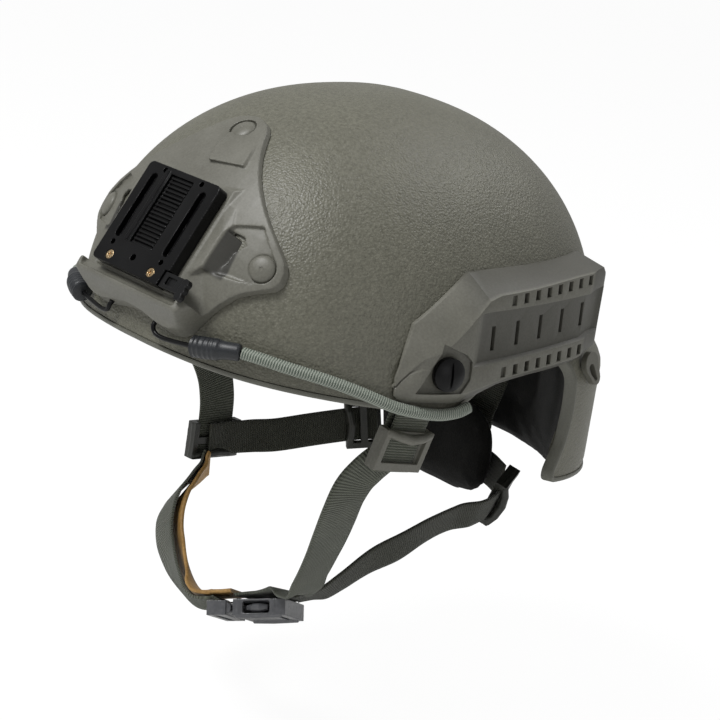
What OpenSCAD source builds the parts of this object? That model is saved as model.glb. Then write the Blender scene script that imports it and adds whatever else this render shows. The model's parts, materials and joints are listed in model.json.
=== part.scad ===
// Combat helmet: hard shell, front mounting shroud, side rails, foam liner and chin harness.
// Frame: origin at the centre of the head opening at brow height, +Z up, the face
// looks along -Y and +X is the wearer's left. All sizes are in millimetres.

/* [Shell] */
// Half width of the shell at brow height
shell_half_width = 117; // [112:0.5:122]
// Length of the shell in front of its centre
shell_front = 136; // [131:0.5:141]
// Length of the shell behind its centre
shell_rear = 137.5; // [132:0.5:143]
// Height of the crown above the brow
shell_height = 127; // [120:0.5:134]
// Thickness of the laminate
shell_wall = 5; // [4:0.25:8]
// Squareness of the plan outline
plan_power = 2.5; // [2.3:0.05:2.7]
// Squareness of the side outline
side_power = 2.12; // [2:0.02:2.3]
// Height of the crease where the skirt begins to flare
crease_height = 13; // [10:0.5:16]
// Outward flare of the skirt at the temples
side_flare = 1.2; // [0.5:0.1:2]
// Outward flare of the skirt at the nape
rear_flare = 8.5; // [6:0.5:10]
// Height of the band that covers the cut edge
trim_height = 3; // [2:0.25:4]
// How far the edge band stands proud of the shell on each side
trim_lip = 0.8; // [0.5:0.1:1.2]

/* [Front shroud] */
// Clearance between a moulded part and the shell under it
seat_gap = 0.3; // [0.2:0.05:0.4]
// Thickness of the moulded shroud along its edge
shroud_edge = 3.5; // [2.5:0.25:4.5]
// Depth of the shroud floor in its side windows
window_floor = 1.8; // [1.4:0.1:2.4]
// Height of the wedge on the top lobe above the shell
wedge_height = 7; // [5:0.25:9]
// Half width of the platform under the metal plate
platform_half = 30; // [29.5:0.25:32]
// Head diameter of the shroud screws
shroud_screw_head = 13.5; // [12:0.5:15]
// Shank diameter of the shroud screws
shroud_screw_shank = 5; // [4:0.5:6]
// Distance of the side screws from the middle
side_screw_x = 61; // [59:0.25:63]
// Height of the side screws along the plate plane
side_screw_up = 3.5; // [2:0.25:5]
// Height of the top screw along the plate plane
top_screw_up = 63; // [61:0.25:65]

/* [Mounting plate] */
// Width of the metal plate
plate_width = 56; // [52:0.5:58]
// Height of the metal plate
plate_height = 57; // [54:0.5:60]
// Thickness of the metal plate
plate_thick = 6.5; // [5:0.25:7]
// Distance of the plate face in front of the shell behind the plate's centre
plate_stand = 11.2; // [10:0.1:13]
// Height of the plate centre
plate_rise = 61.9; // [60:0.1:64]
// Angle of the plate normal above the horizontal
plate_lean = 33.2; // [31:0.2:35]
// Length of each long slot, end to end
slot_length = 37; // [30:0.5:40]
// Width of each long slot
slot_width = 5; // [3:0.2:5.5]
// Distance of each long slot from the middle
slot_x = 19.3; // [18:0.1:20.5]
// Number of cross ribs in the middle channel
rib_count = 18; // [12:1:22]
// Diameter of the plate screws' heads
plate_screw_head = 5; // [4:0.25:6]
// Distance of the plate screws from the middle
plate_screw_x = 16.6; // [15.5:0.1:17.5]
// Diameter of the tapped holes for an attachment
plate_hole = 3; // [2:0.1:3.4]
// Travel of the side latch
latch_travel = 3; // [1:0.5:3]

/* [Side rails] */
// Distance from the shell's half width to the groove floor at its middle
rail_stand = 5.5; // [5:0.25:7]
// Depth of the accessory groove
groove_depth = 2.6; // [2:0.2:3]
// Thickness of the rail along its outer edge
rail_edge = 2.2; // [1.6:0.2:3]
// Number of slots in the groove floor
rail_slot_count = 5; // [3:1:6]
// Distance from one groove slot to the next
rail_slot_pitch = 17.26; // [15:0.1:17.5]
// Width of a groove slot
rail_slot_width = 2.6; // [2:0.1:3.5]
// Height of a groove slot
rail_slot_height = 12.8; // [10:0.2:15]
// Number of windows in each row
rail_window_count = 7; // [4:1:8]
// Distance from one window to the next
rail_window_pitch = 8.63; // [7:0.1:9]
// Width of a window
rail_window_width = 3.4; // [2:0.1:4]
// Head diameter of the front rail bolt
bolt_head = 17; // [15:0.5:19]
// Shank diameter of the rail bolts
bolt_shank = 6; // [5:0.25:7]

/* [Harness] */
// Width of the webbing
webbing_width = 25; // [22:0.5:26]
// Thickness of the webbing
webbing_thick = 1.6; // [1.2:0.1:1.9]
// Clearance of the webbing in its sliders
webbing_gap = 0.35; // [0.3:0.05:0.5]
// Thickness of a slider bar
slider_bar = 2.4; // [2:0.1:3]
// Length of a slider along the webbing
slider_length = 22; // [20:0.5:24]
// Travel of a front slider each way along its webbing
slider_travel = 5; // [2:0.5:5]
// Thickness of the leather lining
lining_thick = 2.2; // [1.6:0.1:2.6]
// Length of the buckle socket
socket_length = 30; // [28:0.5:34]
// Width of the buckle
buckle_width = 32; // [30:0.5:34]
// Height of the buckle
buckle_height = 9; // [8:0.25:10]
// Wall of the buckle socket
buckle_wall = 1.6; // [1.4:0.1:2]
// Release stroke of the buckle plug
buckle_stroke = 28; // [20:1:28]
// Running clearance inside the buckle
buckle_gap = 0.35; // [0.3:0.05:0.5]

/* [Bungees] */
// Diameter of the elastic cord
bungee_d = 6; // [5:0.25:6.5]
// Diameter of the hook wire
hook_wire = 2.4; // [1.8:0.1:2.6]
// Diameter of the rubber grip
grip_d = 11; // [9:0.5:12]

/* [Liner] */
// Thickness of the foam pads
pad_thick = 17; // [14:0.5:20]
// Gap between a pad and the shell, where the hook and loop lies
pad_gap = 1.3; // [1.2:0.1:2]
// Thickness of the nape pad
nape_thick = 15; // [12:0.5:18]

/* [Hidden] */
$fn = 40;
centre_y = 1;
olive = "#6d6c5e";
olive_light = "#83837a";
polymer = "#74736a";
webbing_green = "#5f6458";

function smooth01(t) = let(u = min(1, max(0, t))) u * u * (3 - 2 * u);
function mix(a, b, t) = a + (b - a) * t;
function unit(v) = v / norm(v);
// value of a piecewise straight curve through [x, y] points
function curve(points, x, i = 0) =
    x <= points[0][0] ? points[0][1]
    : i >= len(points) - 1 ? points[len(points) - 1][1]
    : x <= points[i + 1][0]
        ? mix(points[i][1], points[i + 1][1], (x - points[i][0]) / (points[i + 1][0] - points[i][0]))
    : curve(points, x, i + 1);
// a point on a smooth curve through whole rows of numbers, at parameter t from 0 to len - 1
function spline_row(rows, t) =
    let(
        n = len(rows),
        i = min(n - 2, floor(t)),
        f = t - i,
        p1 = rows[i],
        p2 = rows[i + 1],
        p0 = i > 0 ? rows[i - 1] : 2 * p1 - p2,
        p3 = i < n - 2 ? rows[i + 2] : 2 * p2 - p1
    )
    0.5 * (2 * p1 + (p2 - p0) * f + (2 * p0 - 5 * p1 + 4 * p2 - p3) * f * f
        + (3 * p1 - p0 - 3 * p2 + p3) * f * f * f);
function spline(rows, steps) = [for (k = [0:(len(rows) - 1) * steps]) spline_row(rows, k / steps)];
// corner cutting rounds a closed outline
function rounded(points) =
    let(n = len(points))
    [for (i = [0:n - 1], f = [0.25, 0.75]) mix(points[i], points[(i + 1) % n], f)];

// The shell's outer skin. The plan angle runs from the front, positive to the wearer's left.
function flare(angle, z) =
    let(
        rearward = smooth01((abs(angle) - 100) / 36),
        reach = side_flare + (rear_flare - side_flare) * rearward,
        below = min(1, max(0, (crease_height - z) / 20))
    )
    reach * mix(sin(90 * below), smooth01(below), rearward) - 3 * smooth01((-58 - z) / 16);
function plan_radius(angle, off) =
    let(
        along = cos(angle) > 0 ? shell_front : shell_rear,
        across_part = pow(abs(sin(angle)) / (shell_half_width + off), plan_power),
        along_part = pow(abs(cos(angle)) / (along + off), plan_power)
    )
    pow(across_part + along_part, -1 / plan_power);
function draw_in(z, off) =
    z <= 0 ? 1 : pow(max(0, 1 - pow(z / (shell_height + off), side_power)), 1 / side_power);
function skin(angle, z, off) =
    let(r = plan_radius(angle, off + flare(angle, z)) * draw_in(z, off))
    [r * sin(angle), centre_y - r * cos(angle), z];
function plain_x(y, z, off, grow) =
    let(
        along = (y < centre_y ? shell_front : shell_rear) + grow,
        rest = pow(draw_in(z, off), plan_power) - pow(abs(y - centre_y) / along, plan_power)
    )
    rest > 0 ? (shell_half_width + grow) * pow(rest, 1 / plan_power) : 0;
function skin_x(y, z, off) =
    let(angle = atan2(plain_x(y, z, off, off), centre_y - y))
    plain_x(y, z, off, off + flare(angle, z));
function dome_height(step, off) =
    let(
        start = asin(pow(crease_height / (shell_height + off), side_power / 2)),
        lift = mix(start, 90, step)
    )
    (shell_height + off) * pow(sin(lift), 2 / side_power);

// Lower line of the trim: plan angle at the crease, plan angle at the edge, height of the edge
rim_knots = [
    [0, 0, 2], [14, 14, 1.7], [28, 28, 0.2], [42, 42, -2.2], [56, 56, -5.8], [68, 68, -9.6],
    [76, 76, -11.2], [81, 81, -6.5], [86, 86, -0.2], [92, 92, 4], [101, 101, 6.2], [109, 109, 7.4],
    [113, 115, 6.4], [115.5, 118.4, 1], [118, 119.8, -9], [120.5, 120.2, -23], [123, 119.4, -38],
    [125.5, 117.8, -48], [127.5, 116.6, -55.5], [129.5, 117.4, -60.5], [133, 122, -62.6], [142, 135, -65],
    [154, 151, -67.8], [167, 166, -69.4], [180, 180, -70]
];
rim_half = spline(rim_knots, 2);
rim_count = len(rim_half) - 1;
rim = concat(
    [for (k = [0:rim_count - 1]) rim_half[k]],
    [for (k = [0:rim_count - 1]) let(c = rim_half[rim_count - k]) [-c[0], -c[1], c[2]]]
);
arc_mm = 2.2;
// the shell's own edge, square to the trim's lower line in the unrolled skin
shell_edge = [for (k = [0:len(rim) - 1])
    let(
        n = len(rim),
        before = rim[(k + n - 1) % n],
        after = rim[(k + 1) % n],
        turn = ((after[1] - before[1] + 540) % 360) - 180,
        along = unit([turn * arc_mm, after[2] - before[2]])
    )
    [rim[k][0], rim[k][1] - along[1] * trim_height / arc_mm, rim[k][2] + along[0] * trim_height]
];
outer_skirt = [0, 0.07, 0.15, 0.35, 0.6, 0.75, 0.83, 0.91, 1];
inner_skirt = [0, 0.15, 0.6, 0.75, 0.83, 0.91, 1];
dome_rows = 10;
inner_dome_rows = 7;

// faces between rings of equal length, closed along each ring
function side_faces(rings, per_ring) = [
    for (r = [0:rings - 2], k = [0:per_ring - 1])
        let(a = r * per_ring + k, b = r * per_ring + (k + 1) % per_ring, c = a + per_ring, d = b + per_ring)
            each [[a, b, d], [a, d, c]]
];
// a solid through rings, with a point over the first ring and a point under the last
module capped_loft(first, rings, last, flip = false) {
    per_ring = len(rings[0]);
    count = len(rings);
    points = concat([for (ring = rings, p = ring) p], [first, last]);
    top = count * per_ring;
    faces = concat(
        side_faces(count, per_ring),
        [for (k = [0:per_ring - 1]) [top, (k + 1) % per_ring, k]],
        [for (k = [0:per_ring - 1])
            [top + 1, (count - 1) * per_ring + k, (count - 1) * per_ring + (k + 1) % per_ring]]
    );
    polyhedron(points, flip ? [for (f = faces) [f[0], f[2], f[1]]] : faces, convexity = 8);
}
function centroid(ring) = [for (k = [0:2]) [for (p = ring) p[k]] * [for (p = ring) 1] / len(ring)];
module tube_loft(rings, flip = false) {
    capped_loft(centroid(rings[0]), rings, centroid(rings[len(rings) - 1]), flip);
}
module closed_loft(rings) {
    per_ring = len(rings[0]);
    count = len(rings);
    wrapped = concat(rings, [rings[0]]);
    faces = [for (f = side_faces(count + 1, per_ring)) [for (i = f) i % (count * per_ring)]];
    polyhedron([for (ring = rings, p = ring) p], faces, convexity = 8);
}
module mirrored() {
    children();
    mirror([1, 0, 0]) children();
}

plate_forward = skin_reach(plate_rise) + plate_stand;
function skin_reach(z) = shell_front * pow(1 - pow(z / shell_height, side_power), 1 / side_power) - centre_y;
// Places on the shell
module on_plate() {
    translate([0, -plate_forward, plate_rise]) rotate([90 - plate_lean, 0, 0]) children();
}
function plate_to_world(p) = [
    p[0],
    -plate_forward + p[1] * sin(plate_lean) - p[2] * cos(plate_lean),
    plate_rise + p[1] * cos(plate_lean) + p[2] * sin(plate_lean)
];
function shell_excess(p, off) =
    let(
        angle = atan2(p[0], centre_y - p[1]),
        flat = norm([p[0], p[1] - centre_y])
    )
    flat - plan_radius(angle, off + flare(angle, p[2])) * draw_in(p[2], off);
// depth of the skin under a point of the plate plane
function skin_depth(x, up, off, low = -70, high = 30, n = 18) =
    n == 0 ? (low + high) / 2
    : let(mid = (low + high) / 2, outside = shell_excess(plate_to_world([x, up, mid]), off) > 0)
        outside ? skin_depth(x, up, off, low, mid, n - 1) : skin_depth(x, up, off, mid, high, n - 1);

bolt_y = -36.9;
bolt_z = 12;
bolt_turn = 14;
bolt_lift = 5;
pocket_floor = shell_half_width + 3.2;
rail_floor_x = shell_half_width + rail_stand;
// local +Z points out of the shell along the front rail bolt
module on_bolt() {
    translate([pocket_floor, bolt_y, bolt_z]) rotate([0, 0, -bolt_turn]) rotate([0, 90 - bolt_lift, 0])
        children();
}
rear_screw_y = 70;
rear_screw_z = 34;
rear_screw_reach = 4.4;
rear_screw_shank = 4;
rear_screw_head = 9;
rear_screw_rise = 1.1;
rear_screw_sink = 1.4;
module on_rear_screw() {
    step = 1;
    place = function(y, z) [skin_x(y, z, 0), y, z];
    here = place(rear_screw_y, rear_screw_z);
    rearward = place(rear_screw_y + step, rear_screw_z) - here;
    above = place(rear_screw_y, rear_screw_z + step) - here;
    out = unit(cross(rearward, above));
    translate(here) rotate([0, acos(out[2]), atan2(out[1], out[0])]) children();
}
module on_shroud_screw(x, up) {
    depth = skin_depth(x, up, 0);
    here = plate_to_world([x, up, depth]);
    step = 1;
    side = plate_to_world([x + step, up, skin_depth(x + step, up, 0)]) - here;
    above = plate_to_world([x, up + step, skin_depth(x, up + step, 0)]) - here;
    out = unit(cross(side, above));
    translate(here) rotate([0, acos(out[2]), atan2(out[1], out[0])]) children();
}
module at_shroud_screws() {
    on_shroud_screw(0, top_screw_up) children();
    on_shroud_screw(side_screw_x, side_screw_up) children();
    on_shroud_screw(-side_screw_x, side_screw_up) children();
}

// Shell
module shell() {
    function skirt_ring(f, off) = [for (c = shell_edge)
        skin(mix(c[1], c[0], smooth01(f)), mix(c[2], crease_height, f), off)];
    function dome_rings(count, off) = [for (k = [1:count - 1])
        [for (c = shell_edge) skin(c[0], dome_height(k / count, off), off)]];
    outer = concat([for (f = outer_skirt) skirt_ring(f, 0)], dome_rings(dome_rows, 0));
    inner_dome = dome_rings(inner_dome_rows, -shell_wall);
    inner = concat([for (f = inner_skirt) skirt_ring(f, -shell_wall)], inner_dome);
    rings = concat([for (k = [len(inner) - 1:-1:0]) inner[k]], outer);
    color(olive) difference() {
        capped_loft([0, centre_y, shell_height - shell_wall], rings, [0, centre_y, shell_height], true);
        at_shroud_screws() translate([0, 0, -25]) cylinder(d = shroud_screw_shank + 0.4, h = 50);
        mirrored() {
            on_bolt() translate([0, 0, -30]) cylinder(d = bolt_shank + 0.4, h = 50);
            on_rear_screw() translate([0, 0, -25]) cylinder(d = rear_screw_shank + 0.4, h = 50);
        }
    }
}
module edge_trim() {
    trim_gap = 0.25;
    n = len(shell_edge);
    outer_edge = [for (c = shell_edge) skin(c[1], c[2], 0)];
    inner_edge = [for (c = shell_edge) skin(c[1], c[2], -shell_wall)];
    rings = [for (k = [0:n - 1])
        let(
            along = unit(outer_edge[(k + 1) % n] - outer_edge[(k + n - 1) % n]),
            out = unit(outer_edge[k] - inner_edge[k]),
            down = unit(cross(along, out)),
            place = function(r, d) inner_edge[k] + out * r + down * d,
            full = norm(outer_edge[k] - inner_edge[k])
        )
        [
            place(0, trim_gap), place(-trim_lip, trim_height * 0.3),
            place(-trim_lip, trim_height * 0.75), place(trim_lip, trim_height),
            place(full - trim_lip, trim_height), place(full + trim_lip, trim_height * 0.75),
            place(full + trim_lip, trim_height * 0.3), place(full, trim_gap)
        ]];
    color(olive_light) closed_loft(rings);
}

// Front shroud
shroud_right = [
    [4, 74], [13, 70], [21, 59], [26, 52], [35, 41.5], [46, 31], [56, 22.5], [65.5, 15], [72, 8.5],
    [72.5, -1], [66, -6.5], [59, -11.5], [52.5, -18.5], [46.5, -27], [41.5, -35], [37.5, -40.5],
    [29, -43], [18, -42], [8, -40]
];
shroud_outline = rounded(concat(
    shroud_right,
    [for (k = [len(shroud_right) - 1:-1:0]) [-shroud_right[k][0], shroud_right[k][1]]]
));
window_right = [[33.5, -11], [33.2, 10.2], [36.6, 14], [53.6, 21.5], [66.5, 9], [67, 0], [61, -6]];
floor_hole_right = [
    [34.8, -9.4], [34.6, 9.6], [37.2, 12.8], [46.5, 12.9], [49.6, 9.4], [48.8, 8.4], [45.8, 3], [45.4, -2.1],
    [43, -6], [40.9, -8.8]
];
block_half = 84;
block_low = -50;
block_high = 82;
block_deep = -95;
// a block in the plate's frame whose top follows the shell at an offset
module dome_block(off) {
    across = 24;
    along = 20;
    count = across + 1;
    low = count * (along + 1);
    top = [for (j = [0:along], i = [0:across])
        let(x = mix(-block_half, block_half, i / across), up = mix(block_low, block_high, j / along))
            [x, up, skin_depth(x, up, off)]];
    corners = [
        [-block_half, block_low, block_deep], [block_half, block_low, block_deep],
        [block_half, block_high, block_deep], [-block_half, block_high, block_deep]
    ];
    faces = concat(
        [for (j = [0:along - 1], i = [0:across - 1])
            let(k = j * count + i) each [[k, k + count, k + count + 1], [k, k + count + 1, k + 1]]],
        [
            concat([low], [for (i = [0:across]) i], [low + 1]),
            concat([low + 1], [for (j = [0:along]) j * count + across], [low + 2]),
            concat([low + 2], [for (i = [across:-1:0]) along * count + i], [low + 3]),
            concat([low + 3], [for (j = [along:-1:0]) j * count], [low]),
            [low, low + 1, low + 2, low + 3]
        ]
    );
    polyhedron(concat(top, corners), faces, convexity = 4);
}
module prism(points, low, high) {
    translate([0, 0, low]) linear_extrude(height = high - low) polygon(points);
}
// a solid of constant section across the plate; points are [up, height]
module across_plate(points, half) {
    rotate([90, 0, 90]) translate([0, 0, -half]) linear_extrude(height = 2 * half) polygon(points);
}
platform_top = -plate_thick - 0.1;
shelf_top = -3.8;
shelf_start = -plate_height / 2 - 0.8;
shelf_half = 47;
wedge_low = 43;
wedge_top = 57;
wedge_half = 10.5;
wedge_rise = wedge_height - shroud_edge;
module platform() {
    slope = 0.75;
    spread = 50;
    half = platform_half;
    low = shelf_start - 1;
    high = plate_height / 2 + 2;
    ends = [[-half, low], [half, low], [half, high], [-half, high]];
    top = [for (p = ends) [p[0], p[1], platform_top]];
    base = [for (p = ends) [
        p[0] + spread * sign(p[0]), p[1] + spread * sign(p[1]), platform_top - spread * slope
    ]];
    faces = concat([[3, 2, 1, 0], [4, 5, 6, 7]], [for (k = [0:3]) [k, (k + 1) % 4, (k + 1) % 4 + 4, k + 4]]);
    polyhedron(concat(top, base), faces);
}
module shroud_frame() {
    edge = function(up) skin_depth(0, up, seat_gap + shroud_edge);
    color(polymer) difference() {
        on_plate() difference() {
            intersection() {
                union() {
                    dome_block(seat_gap + shroud_edge);
                    platform();
                    across_plate([
                        [shelf_start, block_deep], [shelf_start, shelf_top], [-34.6, shelf_top],
                        [-36, shelf_top - 1.4], [-42, -17.5], [-46, -26], [-46, block_deep]
                    ], shelf_half);
                    across_plate([
                        [wedge_low, block_deep], [wedge_low, edge(wedge_low) + wedge_rise],
                        [wedge_low + 1, edge(wedge_low + 1) + wedge_rise + 0.6],
                        [wedge_top, edge(wedge_top) + 0.8], [wedge_top, block_deep]
                    ], wedge_half);
                }
                prism(shroud_outline, -80, 8);
            }
            dome_block(seat_gap);
            translate([-plate_width / 2 - seat_gap, -plate_height / 2 - seat_gap, platform_top])
                cube([plate_width + 2 * seat_gap, plate_height + 2 * seat_gap, 30]);
            for (side = [-1, 1]) mirror([side < 0 ? 1 : 0, 0, 0]) {
                difference() {
                    prism(window_right, -70, 5);
                    dome_block(seat_gap + window_floor);
                }
                prism(floor_hole_right, -70, 5);
            }
        }
        at_shroud_screws() {
            translate([0, 0, -20]) cylinder(d = shroud_screw_shank + 0.4, h = 45);
            translate([0, 0, screw_level]) cylinder(d = shroud_screw_head + 1, h = 12);
        }
        for (x = [-plate_screw_x, plate_screw_x])
            on_plate() translate([x, plate_screw_up, -30]) cylinder(d = plate_screw_shank + 0.3, h = 40);
        mirrored() tube_loft(tube_rings(hook_path, hook_wire + 2 * hook_gap, 8, hook_start), true);
    }
}
screw_level = 1.5;
screw_crown = 2.6;
screw_ball = 20;
module shroud_screws() {
    color(polymer) at_shroud_screws() difference() {
        union() {
            translate([0, 0, screw_level + 0.05]) intersection() {
                cylinder(d = shroud_screw_head, h = 4);
                translate([0, 0, screw_crown - screw_ball]) sphere(r = screw_ball, $fn = 60);
            }
            translate([0, 0, -shell_wall - 3])
                cylinder(d = shroud_screw_shank, h = shell_wall + 4 + screw_level);
        }
        translate([0, 0, screw_level + screw_crown - 0.7]) cylinder(d = 4, h = 3);
    }
}

// Mounting plate
plate_screw_up = -24;
plate_screw_shank = 3;
slot_top = 22.8;
slot_low = slot_top - slot_length;
slot_depth = 3.4;
centre_hole_up = -20.7;
centre_hole = 3.6;
rib_low = -14;
rib_high = 25.4;
hole_places = [[-14.5, 26], [14.5, 26], [-19.6, -17.4], [19.6, -17.4]];
latch_cut_x = 25;
latch_cut_up = -19.6;
module rounded_slot(length, width, depth) {
    hull() for (e = [-1, 1])
        translate([0, e * (length - width) / 2, 0]) cylinder(d = width, h = depth, $fn = 32);
}
module mounting_plate() {
    channel_width = 18;
    channel_depth = 2.2;
    through = plate_thick + 2;
    rib_pitch = (rib_high - rib_low) / rib_count;
    color("#262729") on_plate() difference() {
        union() {
            difference() {
                translate([-plate_width / 2, -plate_height / 2, -plate_thick])
                    cube([plate_width, plate_height, plate_thick]);
                for (side = [-1, 1])
                    translate([side * slot_x, (slot_top + slot_low) / 2, -slot_depth])
                        rounded_slot(slot_length, slot_width, slot_depth + 1);
                translate([-channel_width / 2, rib_low, -channel_depth])
                    cube([channel_width, rib_high - rib_low, channel_depth + 1]);
                for (p = hole_places)
                    translate([p[0], p[1], -plate_thick - 1]) cylinder(d = plate_hole, h = through);
                translate([0, centre_hole_up, -plate_thick - 1]) cylinder(d = centre_hole, h = through);
                for (x = [-plate_screw_x, plate_screw_x]) {
                    translate([x, plate_screw_up, -plate_thick - 1])
                        cylinder(d = plate_screw_shank + 0.3, h = through);
                    translate([x, plate_screw_up, -1.6]) cylinder(d = plate_screw_head + 0.4, h = 3);
                }
            }
            for (k = [0:rib_count - 1])
                translate([-channel_width / 2 + 1, rib_low + k * rib_pitch, -channel_depth - 0.1])
                    cube([channel_width - 2, rib_pitch * 0.5, channel_depth - 0.4]);
            translate([-13, rib_low, -0.5]) cube([2.4, rib_high - rib_low + 1, 1.3]);
        }
        translate([latch_cut_x, -plate_height, -plate_thick - 1])
            cube([plate_width, plate_height + latch_cut_up, plate_thick + 2]);
    }
}
module plate_screws() {
    color("#b59b6a") for (x = [-plate_screw_x, plate_screw_x]) on_plate() translate([x, plate_screw_up, 0]) {
        difference() {
            translate([0, 0, -1.5]) cylinder(d = plate_screw_head, h = 1.3);
            for (turn = [0, 90]) rotate([0, 0, turn + 20]) translate([-1.5, -0.3, -0.9]) cube([3, 0.6, 2]);
        }
        translate([0, 0, -plate_thick - 4]) cylinder(d = plate_screw_shank, h = plate_thick + 2.6);
    }
}
module side_latch() {
    gap = 0.3;
    body_w = 16;
    body_h = 8.2;
    color("#1f2022") on_plate() {
        translate([latch_cut_x + gap, latch_cut_up - gap - body_h, -5.6]) {
            difference() {
                cube([body_w, body_h, 4.6]);
                translate([3.4, 2, 3.2]) cube([7, 4.2, 3]);
            }
            for (k = [0:2])
                translate([body_w + 1.2, -0.6 + k * 3.4, 2.6]) cylinder(d = 4.6, h = 3.2, $fn = 32);
            translate([body_w - 2, -2.6, 2.6]) cube([4.4, 11, 1.6]);
        }
    }
}

// Side rails. Every outline value below is [place along Y, height].
rail_top_line = [[-63.5, 10], [-54.2, 35.8], [-19.1, 58.6], [76, 59.5], [84, 52], [90, 38]];
rail_low_line = [
    [-63.5, 1], [-60, -2], [-27, -4.6], [-11.7, -0.6], [0, 2.6], [17, 4.6], [41, 5.6], [60, 6.6],
    [82, 9], [90, 18]
];
groove_top_line = [[-30, 42.6], [70, 45]];
groove_low_line = [[-30, 15.6], [70, 21.4]];
groove_start = -24;
groove_end = 76;
function rail_floor(y) =
    let(straight = rail_floor_x - 0.051 * (y - 20) - 0.00109 * pow(y - 20, 2))
    min(straight, skin_x(y, 30, 7.6) + max(0, (groove_end - 8 - y) * 0.6));
module rail_solid() {
    stations = [
        -63.5, -61.5, -58, -54.2, -46, -38, -30, -26, -22, -19.1, -12, 0, 12, 24, 36, 48, 60, 70, 76, 78,
        80, 82, 84, 87, 90
    ];
    inner_steps = 6;
    lip_room = function(z) seat_gap + (z < 18 ? trim_lip + 0.4 : 0);
    function section(y) =
        let(
            low = curve(rail_low_line, y),
            high = max(low + 2, curve(rail_top_line, y)),
            front_fade = smooth01((y + 63.5) / 15),
            rear_fade = smooth01((90 - y) / 9),
            fade = min(front_fade, rear_fade),
            floor_x = rail_floor(y),
            face = function(z) mix(skin_x(y, z, seat_gap + rail_edge), floor_x + groove_depth, fade),
            in_groove = smooth01((y - groove_start) / 4) * smooth01((groove_end + 6 - y) / 3),
            groove_x = mix(face(30), floor_x, in_groove),
            ridge_part = mix(0.6, 0.87, smooth01((y + 50) / 40)) + 0.06 * smooth01(y / 60),
            ridge = mix(low, high, ridge_part),
            g_top = min(ridge - 0.6, curve(groove_top_line, y)),
            g_low = min(g_top - 1, max(low + 3, curve(groove_low_line, y))),
            foot = mix(low, g_low, 0.35)
        )
        concat(
            [
                [skin_x(y, low, seat_gap + rail_edge), y, low],
                [face(foot), y, foot],
                [face(g_low), y, g_low - 0.4],
                [groove_x, y, g_low + 0.4],
                [groove_x, y, g_top - 0.4],
                [face(g_top), y, g_top + 0.4],
                [face(ridge), y, ridge + 0.5],
                [skin_x(y, high, seat_gap + rail_edge), y, high]
            ],
            [for (k = [0:inner_steps])
                let(z = mix(high, low, k / inner_steps)) [skin_x(y, z, lip_room(z)), y, z]]
        );
    tube_loft([for (y = stations) section(y)]);
}
module rail(side) {
    slot_y = -10.9;
    window_y = 6.5;
    row_rise = 0.078;
    deep = 40;
    slant = 4.5;
    blind = 1.6;
    module cutters(y0, z0, pitch, count, w, h, start = -20) {
        for (k = [0:count - 1])
            translate([rail_floor_x + start, y0 + k * pitch, z0 + row_rise * k * pitch])
                rotate([slant, 0, 0]) translate([0, -w / 2, -h / 2]) cube([deep, w, h]);
    }
    color(polymer) mirror([side < 0 ? 1 : 0, 0, 0]) difference() {
        rail_solid();
        cutters(slot_y, 28.5, rail_slot_pitch, rail_slot_count, rail_slot_width, rail_slot_height);
        for (row = [[11.4, 5.6], [48.6, 5.4]]) {
            cutters(window_y, row[0], rail_window_pitch, rail_window_count, rail_window_width, row[1]);
            first = window_y - rail_window_pitch;
            cutters(first, row[0] - 0.6, rail_window_pitch, 1, rail_window_width, row[1], blind);
        }
        on_bolt() {
            translate([0, 0, -30]) cylinder(d = bolt_shank + 0.4, h = 60);
            linear_extrude(height = 20) polygon(bolt_pocket);
        }
        on_rear_screw() translate([0, 0, -1])
            cylinder(d = rear_screw_shank + 0.4, h = rear_screw_reach + 1.3);
    }
}
// outline of the bolt pocket round the bolt axis, [down, rearward]
bolt_pocket = [[-16, -6], [-10, 8.5], [-6, 13], [3.3, 13], [10, 8.3], [9, -18.5]];
module rail_left() { rail(1); }
module rail_right() { rail(-1); }
module slotted_head(d, h, crown) {
    difference() {
        intersection() {
            cylinder(d = d, h = h);
            translate([0, 0, h - crown]) sphere(r = crown, $fn = 60);
        }
        translate([-d, -0.7, h - 1.6]) cube([2 * d, 1.4, 3]);
    }
}
module rail_front_bolts() {
    color("#1b1b1d") mirrored() on_bolt() {
        translate([0, 0, 0.1]) slotted_head(bolt_head, 5.5, 16);
        translate([0, 0, -bolt_grip]) cylinder(d = bolt_shank, h = bolt_grip + 1);
    }
}
bolt_grip = 19;
module rail_rear_screws() {
    seat = -shell_wall - rear_screw_sink;
    color("#1b1b1d") mirrored() on_rear_screw() {
        translate([0, 0, seat - rear_screw_rise]) difference() {
            cylinder(d = rear_screw_head, h = rear_screw_rise);
            translate([0, 0, -1]) cylinder(d = 2.5, h = 1.6);
        }
        translate([0, 0, seat - 0.4]) cylinder(d = rear_screw_shank, h = rear_screw_reach - seat + 0.4);
    }
}
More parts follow.
